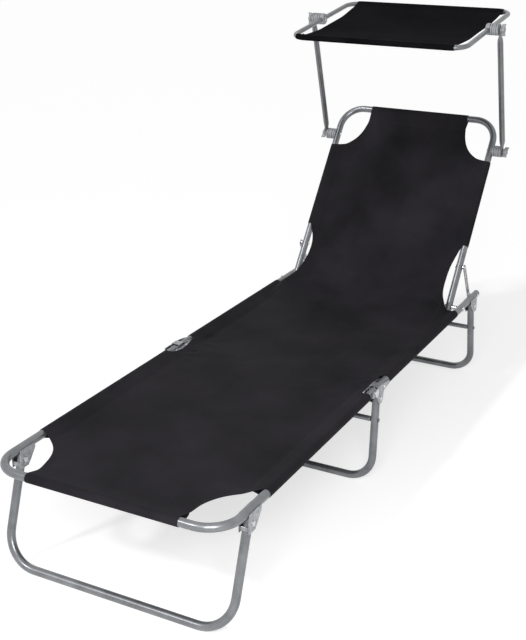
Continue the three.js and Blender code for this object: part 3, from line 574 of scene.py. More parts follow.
fastener("backrest_pivot_pin_right", "backrest_pivot", 0, [
    *backwards(dome(-BACK_IN, 0.007, 0.002)), (BACK_IN, 0.004), (BACK_OUT, 0.004), (BACK_OUT, 0.0065),
    (RAIL_IN, 0.0065), (RAIL_IN, 0.004), (RAIL_OUT, 0.004), *dome(RAIL_OUT, 0.007, 0.002)])
fastener("link_upper_pin_pin_right", "link_upper_pin", 0, [
    *backwards(dome(-BACK_IN, 0.005, 0.002)), (BACK_IN, 0.003), (BACK_OUT, 0.003), (BACK_OUT, 0.005),
    (LINK_IN - CLEAR, 0.005), (LINK_IN - CLEAR, 0.003), (LINK_OUT + CLEAR, 0.003),
    *dome(LINK_OUT + CLEAR, 0.005, 0.001)])
fastener("link_lower_pin_pin_right", "link_lower_pin", 0, [
    (LINK_OUT + 0.0016, 0.0024), (LINK_OUT + 0.0022, 0.003), (RAIL_OUT, 0.003),
    *dome(RAIL_OUT, 0.005, 0.002)])

# %% [markdown]
# ## Pressed plates
#
# The hinge brackets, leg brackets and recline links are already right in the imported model, holes and all,
# so their nodes stay. Each gets three live modifiers: Weld joins its loose triangles, Decimate merges the
# flat ones and Bevel eases the sheared edges, which catch a thin line of light on the real pressing. The
# cheeks of the hinge brackets also have small dimples that stiffen them, which are turned pieces of their
# own, and the rear ends of the rails are closed by plastic caps.

# %% Ease the pressed edges
for name in ("mid_hinge_bracket", "foot_leg_bracket", "rear_leg_bracket", "recline_link"):
    for side in ("right", "left"):
        plate = frame["nodes"][f"{name}_{side}"]
        modify(plate, "WELD", merge_threshold=0.00001)
        modify(plate, "DECIMATE", decimate_type="DISSOLVE", angle_limit=radians(1))
        modify(plate, "BEVEL", width=0.0005, segments=2, limit_method="ANGLE", angle_limit=radians(25))
        plate.data.materials.clear()
        plate.data.materials.append(zinc_plate)
    print("eased", name)

# %% Dimples pressed into the hinge cheeks
DIMPLE = [(0, 0.0034), (0.0003, 0.0033), (0.0007, 0.0028), (0.0010, 0.0018), (0.0011, 0.0006)]
for side, way in (("right", 1), ("left", -1)):
    dimples = []
    for y, z in ((0.6905, 0.0004), (HINGE_Y, -0.0062), (0.7670, 0.0004)):
        for face in (-1, 1):
            rings = [(way * RAIL_X + face * (TUBE + 0.0022 + out), r) for out, r in DIMPLE]
            dimples.append(turned("dimple", on_bed(0, y, z), rings, sides=20))
    pressed = join(f"mid_hinge_dimples_{side}", *dimples)
    pressed.data.materials.append(zinc_plate)
    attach(pressed, frame["nodes"][f"mid_hinge_bracket_{side}"]["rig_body"])
    print(pressed.name, len(dimples), "dimples")

# %% Caps on the rail ends
cap = turned("rail_end_plug_right", on_bed(RAIL_X, RAIL_END), [
    (-0.014, 0.0076), (-0.012, 0.0082), (0.0002, 0.0082), (0.0003, 0.0095), (0.0016, 0.0095),
    (0.0023, 0.0086), (0.0025, 0.006)], axis=ALONG_BED)
dress_pair(cap, GREY_PLASTIC, "rail_end_cap")

# %% [markdown]
# ## Canopy frame and arms
#
# The canopy's loop is one thin tube with its two ends hidden in the rear sleeve. The arms are tubes that
# were pressed flat at both ends so that a bolt passes through them: a circle is extruded along the arm and
# squeezed at each station, then the whole arm is turned to its lean.

# %% Canopy loop
CANOPY_BEND = 0.038
LOOP_END = 0.0005  # half the gap between the two ends
canopy_loop = bent_tube(
    "canopy_loop_tube",
    [on_canopy(LOOP_END, CANOPY_REAR), *u_shape(on_canopy, -CANOPY_X, CANOPY_REAR, CANOPY_FRONT),
     on_canopy(-LOOP_END, CANOPY_REAR)],
    CANOPY_BEND, CANOPY_TUBE, wall=0.0008, sides=24,
)
dress(canopy_loop, TUBE_STEEL, "canopy_frame")

# %% Arms with pressed ends
PRESSED_END = [  # how far along the arm, half its thickness and half its width
    (-0.015, 0.0012, 0.004), (-0.0145, 0.0019, 0.0065), (-0.012, 0.002, 0.0095), (-0.008, 0.002, 0.0108),
    (0.006, 0.002, 0.011), (0.014, 0.0022, 0.0108), (0.020, 0.0040, 0.0100), (0.027, 0.0066, 0.0087),
    (0.034, 0.0078, 0.0081), (0.040, 0.008, 0.008)]
sections = PRESSED_END + [(ARM_LENGTH - up, thick, wide) for up, thick, wide in reversed(PRESSED_END)]
up, thick, wide = sections[0]
pick()
bpy.ops.mesh.primitive_circle_add(vertices=28, radius=1, fill_type="NGON", location=(0, 0, up))
arm = settle("canopy_arm_tube_right")
edit()
squeeze((thick, wide, 1), (0, 0, up))
for next_up, next_thick, next_wide in sections[1:]:
    extrude((0, 0, next_up - up))
    squeeze((next_thick / thick, next_wide / wide, 1), (0, 0, next_up))
    up, thick, wide = next_up, next_thick, next_wide
leave_edit()
lower_end = Matrix.Translation(clamp_centre + Vector((ARM_X, 0, 0)))
arm.matrix_world = lower_end @ Matrix.Rotation(ARM_TURN - pi / 2, 4, "X")
dress_pair(face_outwards(settle(arm.name)), TUBE_STEEL, "canopy_arm", smooth=50)

# %% [markdown]
# ## Clamps and wing knobs
#
# Each arm end is held by a stack of moulded discs: a saddle on the frame's tube and a second disc on the arm,
# with teeth that lock the angle. A bolt runs through the stack into a wing knob. The upper saddles go round
# the canopy's thin tube, and the lower ones sit on the outer side of the back's tube. The discs are turned
# with ridges, the saddle is then cut by its tube, and the knob grows two wings from its hub.

# %% Clamp discs
DISC, RIDGE = 0.0158, 0.0126  # radius of a disc, and of the grooves between its ribs
ARM_HALF = 0.0023  # from the middle of an arm's pressed end to the disc beside it


def ribbed(start, end):
    """Rings of a disc with two rounded ribs."""
    middle = (start + end) / 2
    return [(start, DISC - 0.0008), (start + 0.0006, DISC), (middle - 0.0011, DISC), (middle - 0.0007, RIDGE),
            (middle + 0.0007, RIDGE), (middle + 0.0011, DISC), (end - 0.0006, DISC), (end, DISC - 0.0008)]


def saddle(level, centre, tube_x, tube_radius, tube_line, collar, meet):
    """The disc on the frame's tube: its collar, a groove and the ribs, with the tube's seat cut out."""
    face = tube_x + tube_radius
    rings = collar + [(face - 0.0030, DISC), (face - 0.0026, RIDGE), (face - 0.0016, RIDGE)]
    rings += ribbed(face - 0.0012, meet - CLEAR)
    made = turned(f"{level}_clamp_saddle_right", centre, rings, sides=48)
    pick()
    bpy.ops.mesh.primitive_cylinder_add(
        vertices=48, radius=tube_radius + CLEAR, depth=0.06, location=centre + Vector((tube_x, 0, 0)),
        rotation=facing(tube_line),
    )
    cutter = bpy.context.object
    modify(made, "BOOLEAN", object=cutter, solver="EXACT")
    apply_modifiers(made)
    bpy.data.objects.remove(cutter)
    return made


# %% Wing knobs
def wing(hub, way):
    """One wing of a knob, from the hub's point upwards or downwards: a block drawn out and narrowed."""
    pick()
    bpy.ops.mesh.primitive_cube_add(size=1, location=hub + Vector((0.0068, 0, way * 0.0075)))
    bpy.context.object.scale = (0.0108, 0.0064, 0.0090)
    made = settle("wing")
    edit("DESELECT")
    bpy.ops.mesh.select_mode(type="FACE")
    leave_edit()
    for face in made.data.polygons:
        face.select = face.normal.z * way > 0.9
    bpy.ops.object.mode_set(mode="EDIT")
    extrude((0.0026, 0, way * 0.0040))
    squeeze((0.94, 0.72, 1), hub + Vector((0.0094, 0, way * 0.0160)))
    leave_edit()
    modify(made, "BEVEL", width=0.0014, segments=3, limit_method="ANGLE", angle_limit=radians(35))
    apply_modifiers(made)
    return made


def wing_knob(level, centre, start, wing_turn):
    """A knob whose hub starts at start, and whose wings are turned about the bolt."""
    hub = [(0, 0.0072), (0.0006, 0.0080), (0.0026, 0.0080), (0.0032, 0.0066), (0.0044, 0.0066),
           (0.0054, 0.0092), (0.0108, 0.0084), (0.0118, 0.0064)]
    name = f"{level}_wing_knob_body_right"
    knob = turned(name, centre, [(start + out, radius) for out, radius in hub], sides=40)
    for way in (1, -1):
        knob = join(name, knob, wing(centre + ACROSS * start, way))
    about = Matrix.Translation(centre)
    knob.data.transform(about @ Matrix.Rotation(radians(wing_turn), 4, "X") @ about.inverted())
    return knob


# %% Clamp stacks
def clamp_stack(level, centre, tube_x, tube_radius, tube_line, wing_turn):
    """The saddle, the second disc, the bolt and the knob of one clamp, on both sides."""
    face, arm_in, arm_out = tube_x + tube_radius, ARM_X - ARM_HALF, ARM_X + ARM_HALF
    meet = (face + arm_in) / 2
    if level == "upper":
        inner = tube_x - tube_radius - 0.0022
        collar = [(0.0012, 0.0062), (0.0012, 0.0068), (0, 0.0072), (0, 0.0112), (0.0006, 0.0132),
                  (0.0018, 0.0148), (0.0040, 0.0156)]
        head, head_radius = inner + 0.0011, 0.006
    else:
        inner = tube_x + 0.0042
        collar = [(0, 0.0062), (0, 0.0136), (0.0005, 0.0150), (0.0014, 0.0157)]
        head, head_radius = tube_x - tube_radius + 0.0012, 0.0045
    collar = [(inner + out, radius) for out, radius in collar]
    lower_half = saddle(level, centre, tube_x, tube_radius, tube_line, collar, meet)
    dress_pair(lower_half, GREY_PLASTIC, f"{level}_clamp_disc")
    disc = turned(f"{level}_clamp_disc_right", centre, ribbed(meet, arm_in), sides=48)
    dress_pair(disc, GREY_PLASTIC, f"arm_{level}_disc")
    rings = backwards(dome(-head, head_radius, 0.0018)) + [(head, 0.003), (arm_out + 0.008, 0.003)]
    bolt = turned(f"{level}_clamp_bolt_body_right", centre, rings)
    dress_pair(bolt, BRIGHT_STEEL, f"{level}_clamp_bolt")
    dress_pair(wing_knob(level, centre, arm_out, wing_turn), GREY_PLASTIC, f"{level}_wing_knob")


clamp_stack("lower", clamp_centre, BACK_X, TUBE, lean(BACK_TURN), -42)
clamp_stack("upper", tilt_centre, CANOPY_X, CANOPY_TUBE, lean(CANOPY_TURN), 0)

# %% [markdown]
# ## The sling
#
# The cloth is cut flat, its long sides are folded round the tubes and sewn back on themselves, and the ends
# go round the foot bar and the top bar the same way. Between the sleeves the edges are cut back in smooth
# bites. A sheet stretched this tight hardly needs a simulation, so its points are laid on a grid: a
# row of points runs from edge to edge, flat in the middle, up a short slope from the seam, and then round
# the tube. The points keep their place on the flat cloth as a UV map, in metres.

# %% How cloth goes round a tube
CLOTH = 0.001
GAP = 0.0003


class Sleeve:
    """The path of cloth from its seam over a tube and back under it, by distance from the seam."""

    def __init__(self, tube_radius, seam_reach):
        self.radius = tube_radius + GAP + CLOTH / 2
        self.reach = seam_reach
        self.slope = asin(self.radius / seam_reach)
        self.run = seam_reach * cos(self.slope)
        self.arc = self.radius * (pi + 2 * self.slope)

    def point(self, distance):
        """How far the cloth lies from the tube's centre line, inward negative, and how far above it."""
        if distance <= self.run:
            return -self.reach + distance * cos(self.slope), distance * sin(self.slope)
        if distance <= self.run + self.arc:
            angle = pi / 2 + self.slope - (distance - self.run) / self.radius
            return self.radius * cos(angle), self.radius * sin(angle)
        left = self.run - (distance - self.run - self.arc)
        under = CLOTH * 1.2 * (1 - left / self.run)
        return -self.reach + left * cos(self.slope), -left * sin(self.slope) - under

    def lift_beside(self, distance):
        """How far the cloth has risen at this distance before the tube's centre line."""
        return self.point((self.reach - distance) / cos(self.slope))[1] if distance < self.reach else 0.0

    def wrap(self):
        """Distances of the part that goes round and back, from the top of the tube to the seam."""
        round_it = [self.run + self.arc * i / 12 for i in range(13)]
        return round_it + [self.run + self.arc + self.run * i / 3 for i in (1, 2, 3)]


# %% Lay a grid and sew the parts of a cloth
def cloth_grid(rows, lay):
    """A grid whose points are laid one by one: rows are lists of stations, and lay(station) gives the point
    and its UV.
    """
    pick()
    bpy.ops.mesh.primitive_grid_add(x_subdivisions=len(rows[0]) - 1, y_subdivisions=len(rows) - 1, size=1)
    cloth = settle("cloth")
    flat = []
    for vertex in cloth.data.vertices:
        column = round((vertex.co.x + 0.5) * (len(rows[0]) - 1))
        row = round((vertex.co.y + 0.5) * (len(rows) - 1))
        vertex.co, uv = lay(rows[row][column])
        flat.append(uv)
    cloth.data.uv_layers[0].name = "flat_cloth"
    for loop in cloth.data.loops:
        cloth.data.uv_layers["flat_cloth"].data[loop.index].uv = flat[loop.vertex_index]
    return cloth


def sew(name, parts):
    """Joins the parts of a cloth, merges them where they meet and gives them their thickness."""
    cloth = face_outwards(join(name, *parts))
    area = sum(face.area for face in cloth.data.polygons)
    modify(cloth, "SOLIDIFY", thickness=CLOTH, offset=0)
    modify(cloth, "SUBSURF", levels=1, render_levels=1)
    apply_modifiers(cloth)
    print(name, round(area, 3), "square metres")
    return cloth, area


# %% Even steps, bites and folds
def even(start, end, step):
    """Places from start to end in steps of about this size."""
    count = max(1, round(abs(end - start) / step))
    return [start + (end - start) * i / count for i in range(count + 1)]


def bite(start, pull, end, steps):
    """Points of a smooth bite: a quadratic curve from start to end that leans towards pull."""
    return [tuple((1 - t) ** 2 * a + 2 * t * (1 - t) * b + t * t * c for a, b, c in zip(start, pull, end))
            for t in (i / steps for i in range(steps + 1))]


def rise(value, low, high):
    """0 up to low, 1 from high on, and a soft rise between them."""
    share = min(1, max(0, (value - low) / (high - low)))
    return share * share * (3 - 2 * share)


def fall(value, low, high):
    """1 up to low, 0 from high on, and a soft fall between them."""
    return 1 - rise(value, low, high)


def ripple(x, y, size):
    """The small unevenness of cloth under tension, a fraction of a millimetre deep."""
    broad, narrow = Vector((x * 7, y * 4, 1.3)), Vector((x * 23, y * 9, 7.1))
    return size * noise.noise(broad) + size * 0.5 * noise.noise(narrow)


def pucker(x, y, ends):
    """Small folds that fan out from the ends of the sleeves, where the cloth is pulled hardest."""
    folds = 0.0
    for end_x, end_y in ends:
        away, turn = hypot(abs(x) - end_x, y - end_y), atan2(y - end_y, end_x - abs(x))
        folds += 0.0016 * cos(turn * 7 + 1.0) * rise(away, 0.0, 0.025) * fall(away, 0.025, 0.095)
    return folds


# %% [markdown]
# A seam is a row of stitches: short, thick beads of thread that sit in a shallow groove. One bead is
# modelled, an Array repeats it along a line, and a Curve modifier lays the row along the cloth.

# %% A row of stitches
STITCH = 0.0038
SEAM_STEP = 0.012  # between the points that lead a row of stitches


def stitch_row(points):
    """Beads of thread along the points of a seam."""
    line = bpy.data.curves.new("seam_line", "CURVE")
    line.dimensions = "3D"
    spline = line.splines.new("POLY")
    spline.points.add(len(points) - 1)
    for point, place in zip(spline.points, points):
        point.co = (*place, 1)
    seam = add_object("seam_line", line)
    pick()
    bpy.ops.mesh.primitive_uv_sphere_add(
        segments=6, ring_count=4, radius=1, location=(STITCH / 2, 0, 0), rotation=(0, pi / 2, 0)
    )
    bpy.context.object.scale = (0.0004, 0.0004, 0.0015)
    bead = settle("stitch")
    modify(bead, "ARRAY", fit_type="FIT_CURVE", curve=seam, use_relative_offset=False,
           use_constant_offset=True, constant_offset_displace=(STITCH, 0, 0))
    modify(bead, "CURVE", object=seam, deform_axis="POS_X")
    apply_modifiers(bead)
    bpy.data.objects.remove(seam)
    return bead


def stitches(name, body, rows):
    """All the stitches of one cloth that ride on one body."""
    thread = join(name, *[stitch_row(points) for points in rows])
    thread.data.materials.append(thread_black)
    bpy.ops.object.shade_smooth()
    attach(thread, body)
    print(name, len(rows), "rows")
    return thread


# %% [markdown]
# ### Foot sling
#
# The foot section's cloth has a sleeve on each rail and one round the foot bar, and is bitten out at the two
# front corners and beside the mid hinge. Its rear edge laps under the seat's cloth. Each row of its grid has
# the same columns, with one on each seam and one on the hem, so the seams run straight along the sleeves.

# %% Sizes of the sleeves
SEAM_REACH = 0.038  # from a tube's centre line in to the seam
ROW_STEP = 0.010
SAG = 0.004
side_sleeve = Sleeve(TUBE, SEAM_REACH)
SEAM_X = RAIL_X - SEAM_REACH
TOP_S = SEAM_X + side_sleeve.run  # half the flat width, from the middle to the top of a rail
SEAM_SHARE = SEAM_X / TOP_S
HEM_SHARE = SEAM_SHARE + (1 - SEAM_SHARE) * 4 / 6
FOOT_SLEEVE = (0.169, 0.672)
FOOT_BAR_HALF = 0.181
BITE_CORNER, BITE_WAIST = 0.2629, 0.2604
LAP_DROP = 0.0014  # the rear edge dips below the seat's cloth

half_row = [SEAM_SHARE * i / 20 for i in range(21)]
half_row += [SEAM_SHARE + (1 - SEAM_SHARE) * i / 6 for i in range(1, 7)]
columns = [-share for share in reversed(half_row[1:])] + half_row
print("columns", len(columns), "seam at", round(SEAM_X, 4))


# %% Across a row
def spread(outline, widest):
    """Rows of stations for the places along the right edge, each no wider than widest from the middle."""
    return [[(c * min(x, widest), y, min(x, widest)) for c in columns] for x, y in outline]


def belly(s, half):
    """How deep the stretched cloth hangs across a row, most in its middle."""
    return SAG * (1 - (s / half) ** 2)


def off_tube(s, seam_x):
    """1 between the seams and 0 on the tubes, which hold the cloth smooth."""
    return fall(abs(s), seam_x, seam_x + 0.016)


def across_seat(s, fade, seam_x=SEAM_X):
    """Turns a distance across the flat cloth into x and a lift, on a row where fade of the sleeve shows."""
    over = abs(s) - seam_x
    if over <= 0:
        return s, 0.0
    inward, lift = side_sleeve.point(over)
    return (1 if s > 0 else -1) * (seam_x + SEAM_REACH + inward), lift * fade


def stitched(s, half, sleeved):
    """How far a row is pulled in or stands up where it is sewn: by its seam in a sleeve, or by a free hem."""
    share = abs(s) / half
    if abs(share - SEAM_SHARE) < 0.001:
        return -0.0011 * sleeved
    if abs(share - HEM_SHARE) < 0.001:
        return -0.0003 * (1 - sleeved)
    return 0.0007 * (1 - sleeved) if share > HEM_SHARE else 0.0


def side_wraps(place, seam_x, ends, zero=0.0):
    """The cloth round both side tubes and back to its seams: zero is where place begins on the flat cloth."""

    def lay(station):
        s, y = station
        x, lift = across_seat(s, 1.0, seam_x)
        return place(x, y, lift), (s, zero + y)

    rows = [[(seam_x + d, y) for d in side_sleeve.wrap()] for y in even(*ends, ROW_STEP)]
    return [cloth_grid([[(side * s, y) for s, y in row] for row in rows], lay) for side in (1, -1)]


def bar_wrap(place, bar, way, half, zero=0.0):
    """The cloth round a cross bar that lies at bar, as far as half on each side."""

    def lay(station):
        s, distance = station
        inward, lift = side_sleeve.point(distance)
        return place(s, bar + way * inward, lift), (s, zero + bar + way * (distance - SEAM_REACH))

    return [cloth_grid([[(c * half, d) for c in columns] for d in side_sleeve.wrap()], lay)]


def side_seams(lay, x, half, ends, above):
    """Points along the seams of both side sleeves, just above the cloth."""
    return [[lay((side * x, y, half))[0] + above for y in even(*ends, SEAM_STEP)] for side in (1, -1)]


# %% Foot sling
def lay_foot(station):
    s, y, half = station
    fade = rise(y, 0.105, 0.168) * fall(y, 0.673, 0.718)
    x, lift = across_seat(s, fade)
    sag = belly(s, half) * rise(y, 0.02, 0.25) * fall(y, 0.5, 0.72)
    sag += LAP_DROP * rise(y, HINGE_Y - 0.007, HINGE_Y + 0.002)
    sewn = stitched(s, half, FOOT_SLEEVE[0] <= y <= FOOT_SLEEVE[1]) * rise(y, 0.03, 0.06)
    uneven = ripple(s, y, 0.0012) + pucker(s, y, [(0.250, 0.160), (0.185, 0.030), (0.250, 0.672)])
    uneven *= off_tube(s, SEAM_X) * rise(y, 0.03, 0.08)
    return on_bed(x, y, lift + side_sleeve.lift_beside(y) - sag + sewn + uneven), (s, y)


foot_rows = [(FOOT_BAR_HALF, y) for y in (0.0028, 0.008)]
corner = bite((FOOT_BAR_HALF, 0.0), (0.175, 0.132), (RAIL_X, 0.169), 22)[:-1]
foot_rows += [(x, y) for x, y in corner if y > 0.012]
foot_rows += [(RAIL_X, y) for y in even(*FOOT_SLEEVE, ROW_STEP)]
foot_rows += bite((BITE_CORNER, 0.6735), (BITE_WAIST, 0.694), (BITE_WAIST, HINGE_Y - 0.008), 8)
foot_rows += [(BITE_WAIST, HINGE_Y + lap) for lap in (-0.005, -0.002, 0.001, 0.003)]
parts = [cloth_grid(spread(foot_rows, TOP_S), lay_foot)] + side_wraps(on_bed, SEAM_X, FOOT_SLEEVE)
parts += bar_wrap(on_bed, 0.0, -1, FOOT_BAR_HALF)
foot_cloth, foot_area = sew("foot_sling_cloth", parts)
dress(foot_cloth, SLING_FABRIC, "foot_sling", smooth=60)

# %% Foot sling's seams
ON_CLOTH = 0.0009
above = Vector((0, 0, ON_CLOTH))
seams = side_seams(lay_foot, SEAM_X, TOP_S, FOOT_SLEEVE, above)
seams.append([lay_foot((x, SEAM_REACH, 0.18))[0] + above for x in even(-0.172, 0.172, SEAM_STEP)])
foot_thread = stitches("foot_sling_stitches", foot_cloth["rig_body"], seams)

# %% [markdown]
# ### Seat and back sling
#
# The seat and the back are one length of cloth. Between the seat's sleeves and the back's it leaves the tubes
# and cuts the corner over the pivots in a soft curve, pulled nearly straight.

# %% Sizes of the seat and back sling
BACK_SEAM_X = BACK_X - SEAM_REACH
BACK_TOP_S = BACK_SEAM_X + side_sleeve.run
SEAT_SLEEVE = (0.785, 1.283)
BACK_SLEEVE = (0.182, 0.446)
BACK_BAR_HALF = 0.152
SEAT_FREE = PIVOT_Y - SEAT_SLEEVE[1]
WAIST = (0.2195, 0.060)  # the free edge's narrowest place


def setbacks(s):
    """How far before and after the pivot the turn begins and ends, wider apart towards the free edges."""
    edge = rise(abs(s), 0.05, 0.20)
    before = 0.160 + 0.038 * edge
    before += (SEAT_FREE - before) * rise(abs(s), 0.235, TOP_S - 0.001)
    return before, 0.160 + 0.020 * edge


def seat_line(s, q):
    """A place on the cloth at q from the pivot, up the back positive: its y, height and lean."""
    before, after = setbacks(s)
    if q <= -before:
        return q, 0.0, 0.0
    if q >= after:
        return q * cos(BACK_TURN), q * sin(BACK_TURN), BACK_TURN
    t = (q + before) / (before + after)
    y = -before * (1 - t) ** 2 + after * cos(BACK_TURN) * t * t
    z = after * sin(BACK_TURN) * t * t
    return y, z, atan2(after * sin(BACK_TURN) * t, before * (1 - t) + after * cos(BACK_TURN) * t)


# %% Lay the seat and the back
def lay_seat(station):
    s, q, half = station
    y, z, turn = seat_line(s, q)
    if q > 0.1:  # on the backrest
        fade = rise(q, 0.125, 0.180) * fall(q, 0.447, 0.500)
        seam_x = BACK_SEAM_X
    else:
        fade = rise(q, HINGE_Y - PIVOT_Y, SEAT_SLEEVE[0] - PIVOT_Y)
        fade *= fall(q, -0.046, -0.020)
        seam_x = SEAM_X
    x, lift = across_seat(s, fade, seam_x)
    lift += side_sleeve.lift_beside(BACK_LENGTH - q)
    loose = rise(q, -0.606, -0.47) * (1 - 0.5 * rise(q, -0.15, 0.02)) * fall(q, 0.40, 0.55)
    sleeved = -PIVOT_Y + SEAT_SLEEVE[0] <= q <= -SEAT_FREE or BACK_SLEEVE[0] <= q <= BACK_SLEEVE[1]
    sewn = stitched(s, half, sleeved) * fall(q, 0.52, 0.54)
    uneven = ripple(s, PIVOT_Y + q, 0.0012)
    uneven += pucker(s, q, [(0.250, -0.550), (0.250, -0.050), (0.225, 0.185), (0.215, 0.440)])
    uneven *= off_tube(s, seam_x) * fall(q, 0.50, 0.54)
    off = lift + sewn - belly(s, half) * loose + uneven
    return on_bed(x, PIVOT_Y + y - off * sin(turn), z + off * cos(turn)), (s, PIVOT_Y + q)


# %% Seat and back sling
seat_rows = bite((BITE_WAIST, HINGE_Y - 0.004), (BITE_WAIST, 0.7545), (BITE_CORNER, 0.7835), 8)
seat_rows += [(RAIL_X, y) for y in even(*SEAT_SLEEVE, ROW_STEP)]
seat_rows = [(x, y - PIVOT_Y) for x, y in seat_rows]
seat_rows += bite((RAIL_X, -SEAT_FREE), (0.2245, -0.045), WAIST, 14)[1:]
back_rows = bite(WAIST, (0.2135, 0.130), (BACK_X, 0.182), 12)[1:-1]
back_rows += [(BACK_X, q) for q in even(*BACK_SLEEVE, ROW_STEP)]
corner = bite((BACK_X, 0.446), (0.150, 0.455), (BACK_BAR_HALF, BACK_LENGTH), 22)[1:]
back_rows += [(x, q) for x, q in corner if q < 0.565]
back_rows += [(BACK_BAR_HALF, BACK_LENGTH - before) for before in (0.007, 0.0028)]
parts = [cloth_grid(spread(seat_rows, TOP_S) + spread(back_rows, BACK_TOP_S), lay_seat)]
parts += side_wraps(on_bed, SEAM_X, SEAT_SLEEVE)
parts += side_wraps(on_back, BACK_SEAM_X, BACK_SLEEVE, PIVOT_Y)
parts += bar_wrap(on_back, BACK_LENGTH, 1, BACK_BAR_HALF, PIVOT_Y)
body_cloth, body_area = sew("seat_and_back_sling_cloth", parts)
dress(body_cloth, SLING_FABRIC, "seat_sling", "back_sling", smooth=60)
body_cloth.parent = None
del body_cloth["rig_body"]
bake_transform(body_cloth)

# %% Seat and back sling's seams
ends = (SEAT_SLEEVE[0] - PIVOT_Y, SEAT_SLEEVE[1] - 0.006 - PIVOT_Y)
seams = side_seams(lay_seat, SEAM_X, TOP_S, ends, above)
seat_thread = stitches("seat_sling_stitches", "seat", seams)
above = on_back(0, 0, ON_CLOTH) - on_back(0, 0)
ends = (BACK_SLEEVE[0] + 0.004, BACK_SLEEVE[1])
seams = side_seams(lay_seat, BACK_TOP_S * SEAM_SHARE, BACK_TOP_S, ends, above)
seams.append([lay_seat((x, BACK_LENGTH - SEAM_REACH, BACK_BAR_HALF))[0] + above
              for x in even(-0.140, 0.140, SEAM_STEP)])
back_thread = stitches("back_sling_stitches", "backrest", seams)

# %% [markdown]
# ## Canopy cloth
#
# The canopy is a flat rectangle of the same weave, with sleeves round its front and rear bars. Its cloth is
# painted darker than the sling's, as painted shade for the weaker light on the canopy. Its two sides are
# free.
# The front sleeve reaches round the left bend of the bar, so the left side flares there, and the right side
# widens a little towards the rear.

# %% How the canopy cloth lies
bar_sleeve = Sleeve(CANOPY_TUBE, 0.030)
CANOPY_HALF = 0.222
SIDE_START, SIDE_END = CANOPY_FRONT + 0.016, CANOPY_REAR - 0.016
tangent = bar_sleeve.reach - bar_sleeve.run * cos(bar_sleeve.slope)


def canopy_edge(y, side):
    """How far the free side lies from the middle: side is 1 on the right and -1 on the left."""
    t = min(1, max(0, (y - SIDE_START) / (SIDE_END - SIDE_START)))
    if side > 0:
        return CANOPY_HALF + 0.0065 * rise(t, 0.45, 0.95)
    flare = 0.014 * fall(y, SIDE_START - 0.006, SIDE_START + 0.022)
    return CANOPY_HALF + flare - 0.001 * (1 - (2 * t - 1) ** 4)


def across_canopy(across, y):
    """The x of a place that is 0 on the left side and 1 on the right."""
    return -canopy_edge(y, -1) + across * (canopy_edge(y, -1) + canopy_edge(y, 1))


def round_bend(x):
    """Where the bar has begun to bend: how far its centre moves inwards, and how much wider its cut is."""
    root = sqrt(CANOPY_BEND**2 - max(0.0, abs(x) - (CANOPY_X - CANOPY_BEND)) ** 2)
    return CANOPY_BEND - root, CANOPY_BEND / root


def lay_canopy(station):
    across, y = station
    x = across_canopy(across, y)
    to_bar = min(y - CANOPY_FRONT, CANOPY_REAR - y)
    sag = 0.009 * rise(to_bar, 0.012, 0.14)
    sag += 0.002 * rise(to_bar, 0.05, 0.19) * (1 - (2 * across - 1) ** 2)
    inward, wider = round_bend(x)
    near = fall(to_bar, tangent, bar_sleeve.reach)
    moved = near * (to_bar * (wider - 1) + inward) * (1 if y < 0 else -1)
    uneven = ripple(x, y, 0.0009) * rise(to_bar, 0.02, 0.15)
    return on_canopy(x, y + moved, bar_sleeve.lift_beside(to_bar) - sag + uneven), (x, y)


def lay_canopy_bar(station):
    across, distance, way = station
    bar = CANOPY_REAR if way > 0 else CANOPY_FRONT
    x = across_canopy(across, bar - way * 0.008)
    from_bar, lift = bar_sleeve.point(distance)
    inward, wider = round_bend(x)
    place = bar + way * (from_bar * wider - inward)
    return on_canopy(x, place, lift), (x, bar + way * (distance - bar_sleeve.reach))


# %% Canopy cloth
canopy_shares = [i / 36 for i in range(37)]
lengths = even(CANOPY_FRONT + tangent, SIDE_START, 0.007)[:-1] + even(SIDE_START, SIDE_END, 0.012)
lengths += even(SIDE_END, CANOPY_REAR - tangent, 0.007)[1:]
parts = [cloth_grid([[(a, y) for a in canopy_shares] for y in lengths], lay_canopy)]
for way in (1, -1):
    rows = [[(a, d, way) for a in canopy_shares] for d in bar_sleeve.wrap()]
    parts.append(cloth_grid(rows, lay_canopy_bar))
canopy_cloth, canopy_area = sew("canopy_cloth", parts)
dress(canopy_cloth, CANOPY_FABRIC_PAINTED_SHADE, "canopy_fabric", smooth=60)
above = on_canopy(0, 0, ON_CLOTH) - on_canopy(0, 0)
canopy_thread = stitches("canopy_stitches", canopy_cloth["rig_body"], [
    [lay_canopy((across, y))[0] + above for across in even(0.01, 0.99, 0.03)]
    for y in (CANOPY_FRONT + bar_sleeve.reach, CANOPY_REAR - bar_sleeve.reach)])

# %% [markdown]
# ## Studio
#
# The lounger stands on a wide white floor. A sun-like key lamp, high at the foot end and from the left,
# throws a soft grey shadow behind the legs, and a weak soft box near the camera draws bright lines on the
# tubes. The world fills the rest weakly. Rays that the camera sees, or that metal and clear things reflect,
# meet a brighter world and a floor with some light of its own, so both are white and the shadow stays.

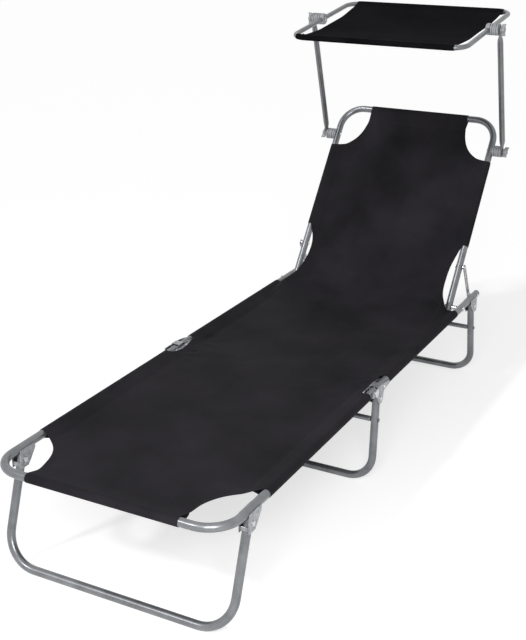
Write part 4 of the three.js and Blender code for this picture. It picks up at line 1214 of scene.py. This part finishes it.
# %% Floor
pick()
bpy.ops.mesh.primitive_plane_add(size=1, location=(0, 0, 0))
bpy.context.object.scale = (80, 80, 1)
floor = settle("studio_floor")
white_paper = new_finish("white_paper", Base_Color=linear("ffffff"), Roughness=0.9, Specular_IOR_Level=0.1)


def seen_ray(holder, share):
    """The share for camera, glossy and transmission rays, and 0 for the light that falls on the object."""
    seen = add_node(holder, "LightPath", give="Is Camera Ray")
    rays = seen.node.outputs
    for ray in (rays["Is Glossy Ray"], rays["Is Transmission Ray"]):
        seen = add_node(holder, "Math", {"operation": "MAXIMUM"}, {}, {0: seen, 1: ray})
    return add_node(holder, "Math", {"operation": "MULTIPLY"}, {1: share}, {0: seen})


nodes = white_paper.node_tree.nodes
glow = add_node(white_paper, "Emission", {}, {"Strength": 1.42})
paper = {0: seen_ray(white_paper, 0.46), 1: nodes["Principled BSDF"].outputs["BSDF"], 2: glow}
surface = add_node(white_paper, "MixShader", links=paper)
white_paper.node_tree.links.new(surface, nodes["Material Output"].inputs["Surface"])
floor.data.materials.append(white_paper)
print("floor", floor.name)


# %% Lamps and world
def lamp(name, kind, energy, direction, **settings):
    """A lamp that shines in a direction."""
    data = bpy.data.lights.new(name, kind)
    data.energy = energy
    for field, value in settings.items():
        setattr(data, field, value)
    made = add_object(name, data)
    made.rotation_euler = direction.to_track_quat("-Z", "Y").to_euler()
    return made


SOFTBOX_PLACE = Vector((0.9, -1.9, 1.3))
lamp("key", "SUN", 1.05, Vector((0.34, 0.62, -0.70)), angle=radians(6))
lamp("softbox", "AREA", 30, Vector((0, 0.1, 0.3)) - SOFTBOX_PLACE, size=0.8).location = SOFTBOX_PLACE

FILL = 0.36
world = bpy.data.worlds.new("studio")
bpy.context.scene.world = world
world.use_nodes = True
background = world.node_tree.nodes["Background"].inputs
background["Color"].default_value = (1, 1, 1, 1)
strength = add_node(world, "MapRange", {}, {"To Min": FILL, "To Max": 1.0}, {"Value": seen_ray(world, 1.0)})
world.node_tree.links.new(strength, background["Strength"])
bpy.context.scene.view_settings.view_transform = "Standard"
print("world fill", FILL)
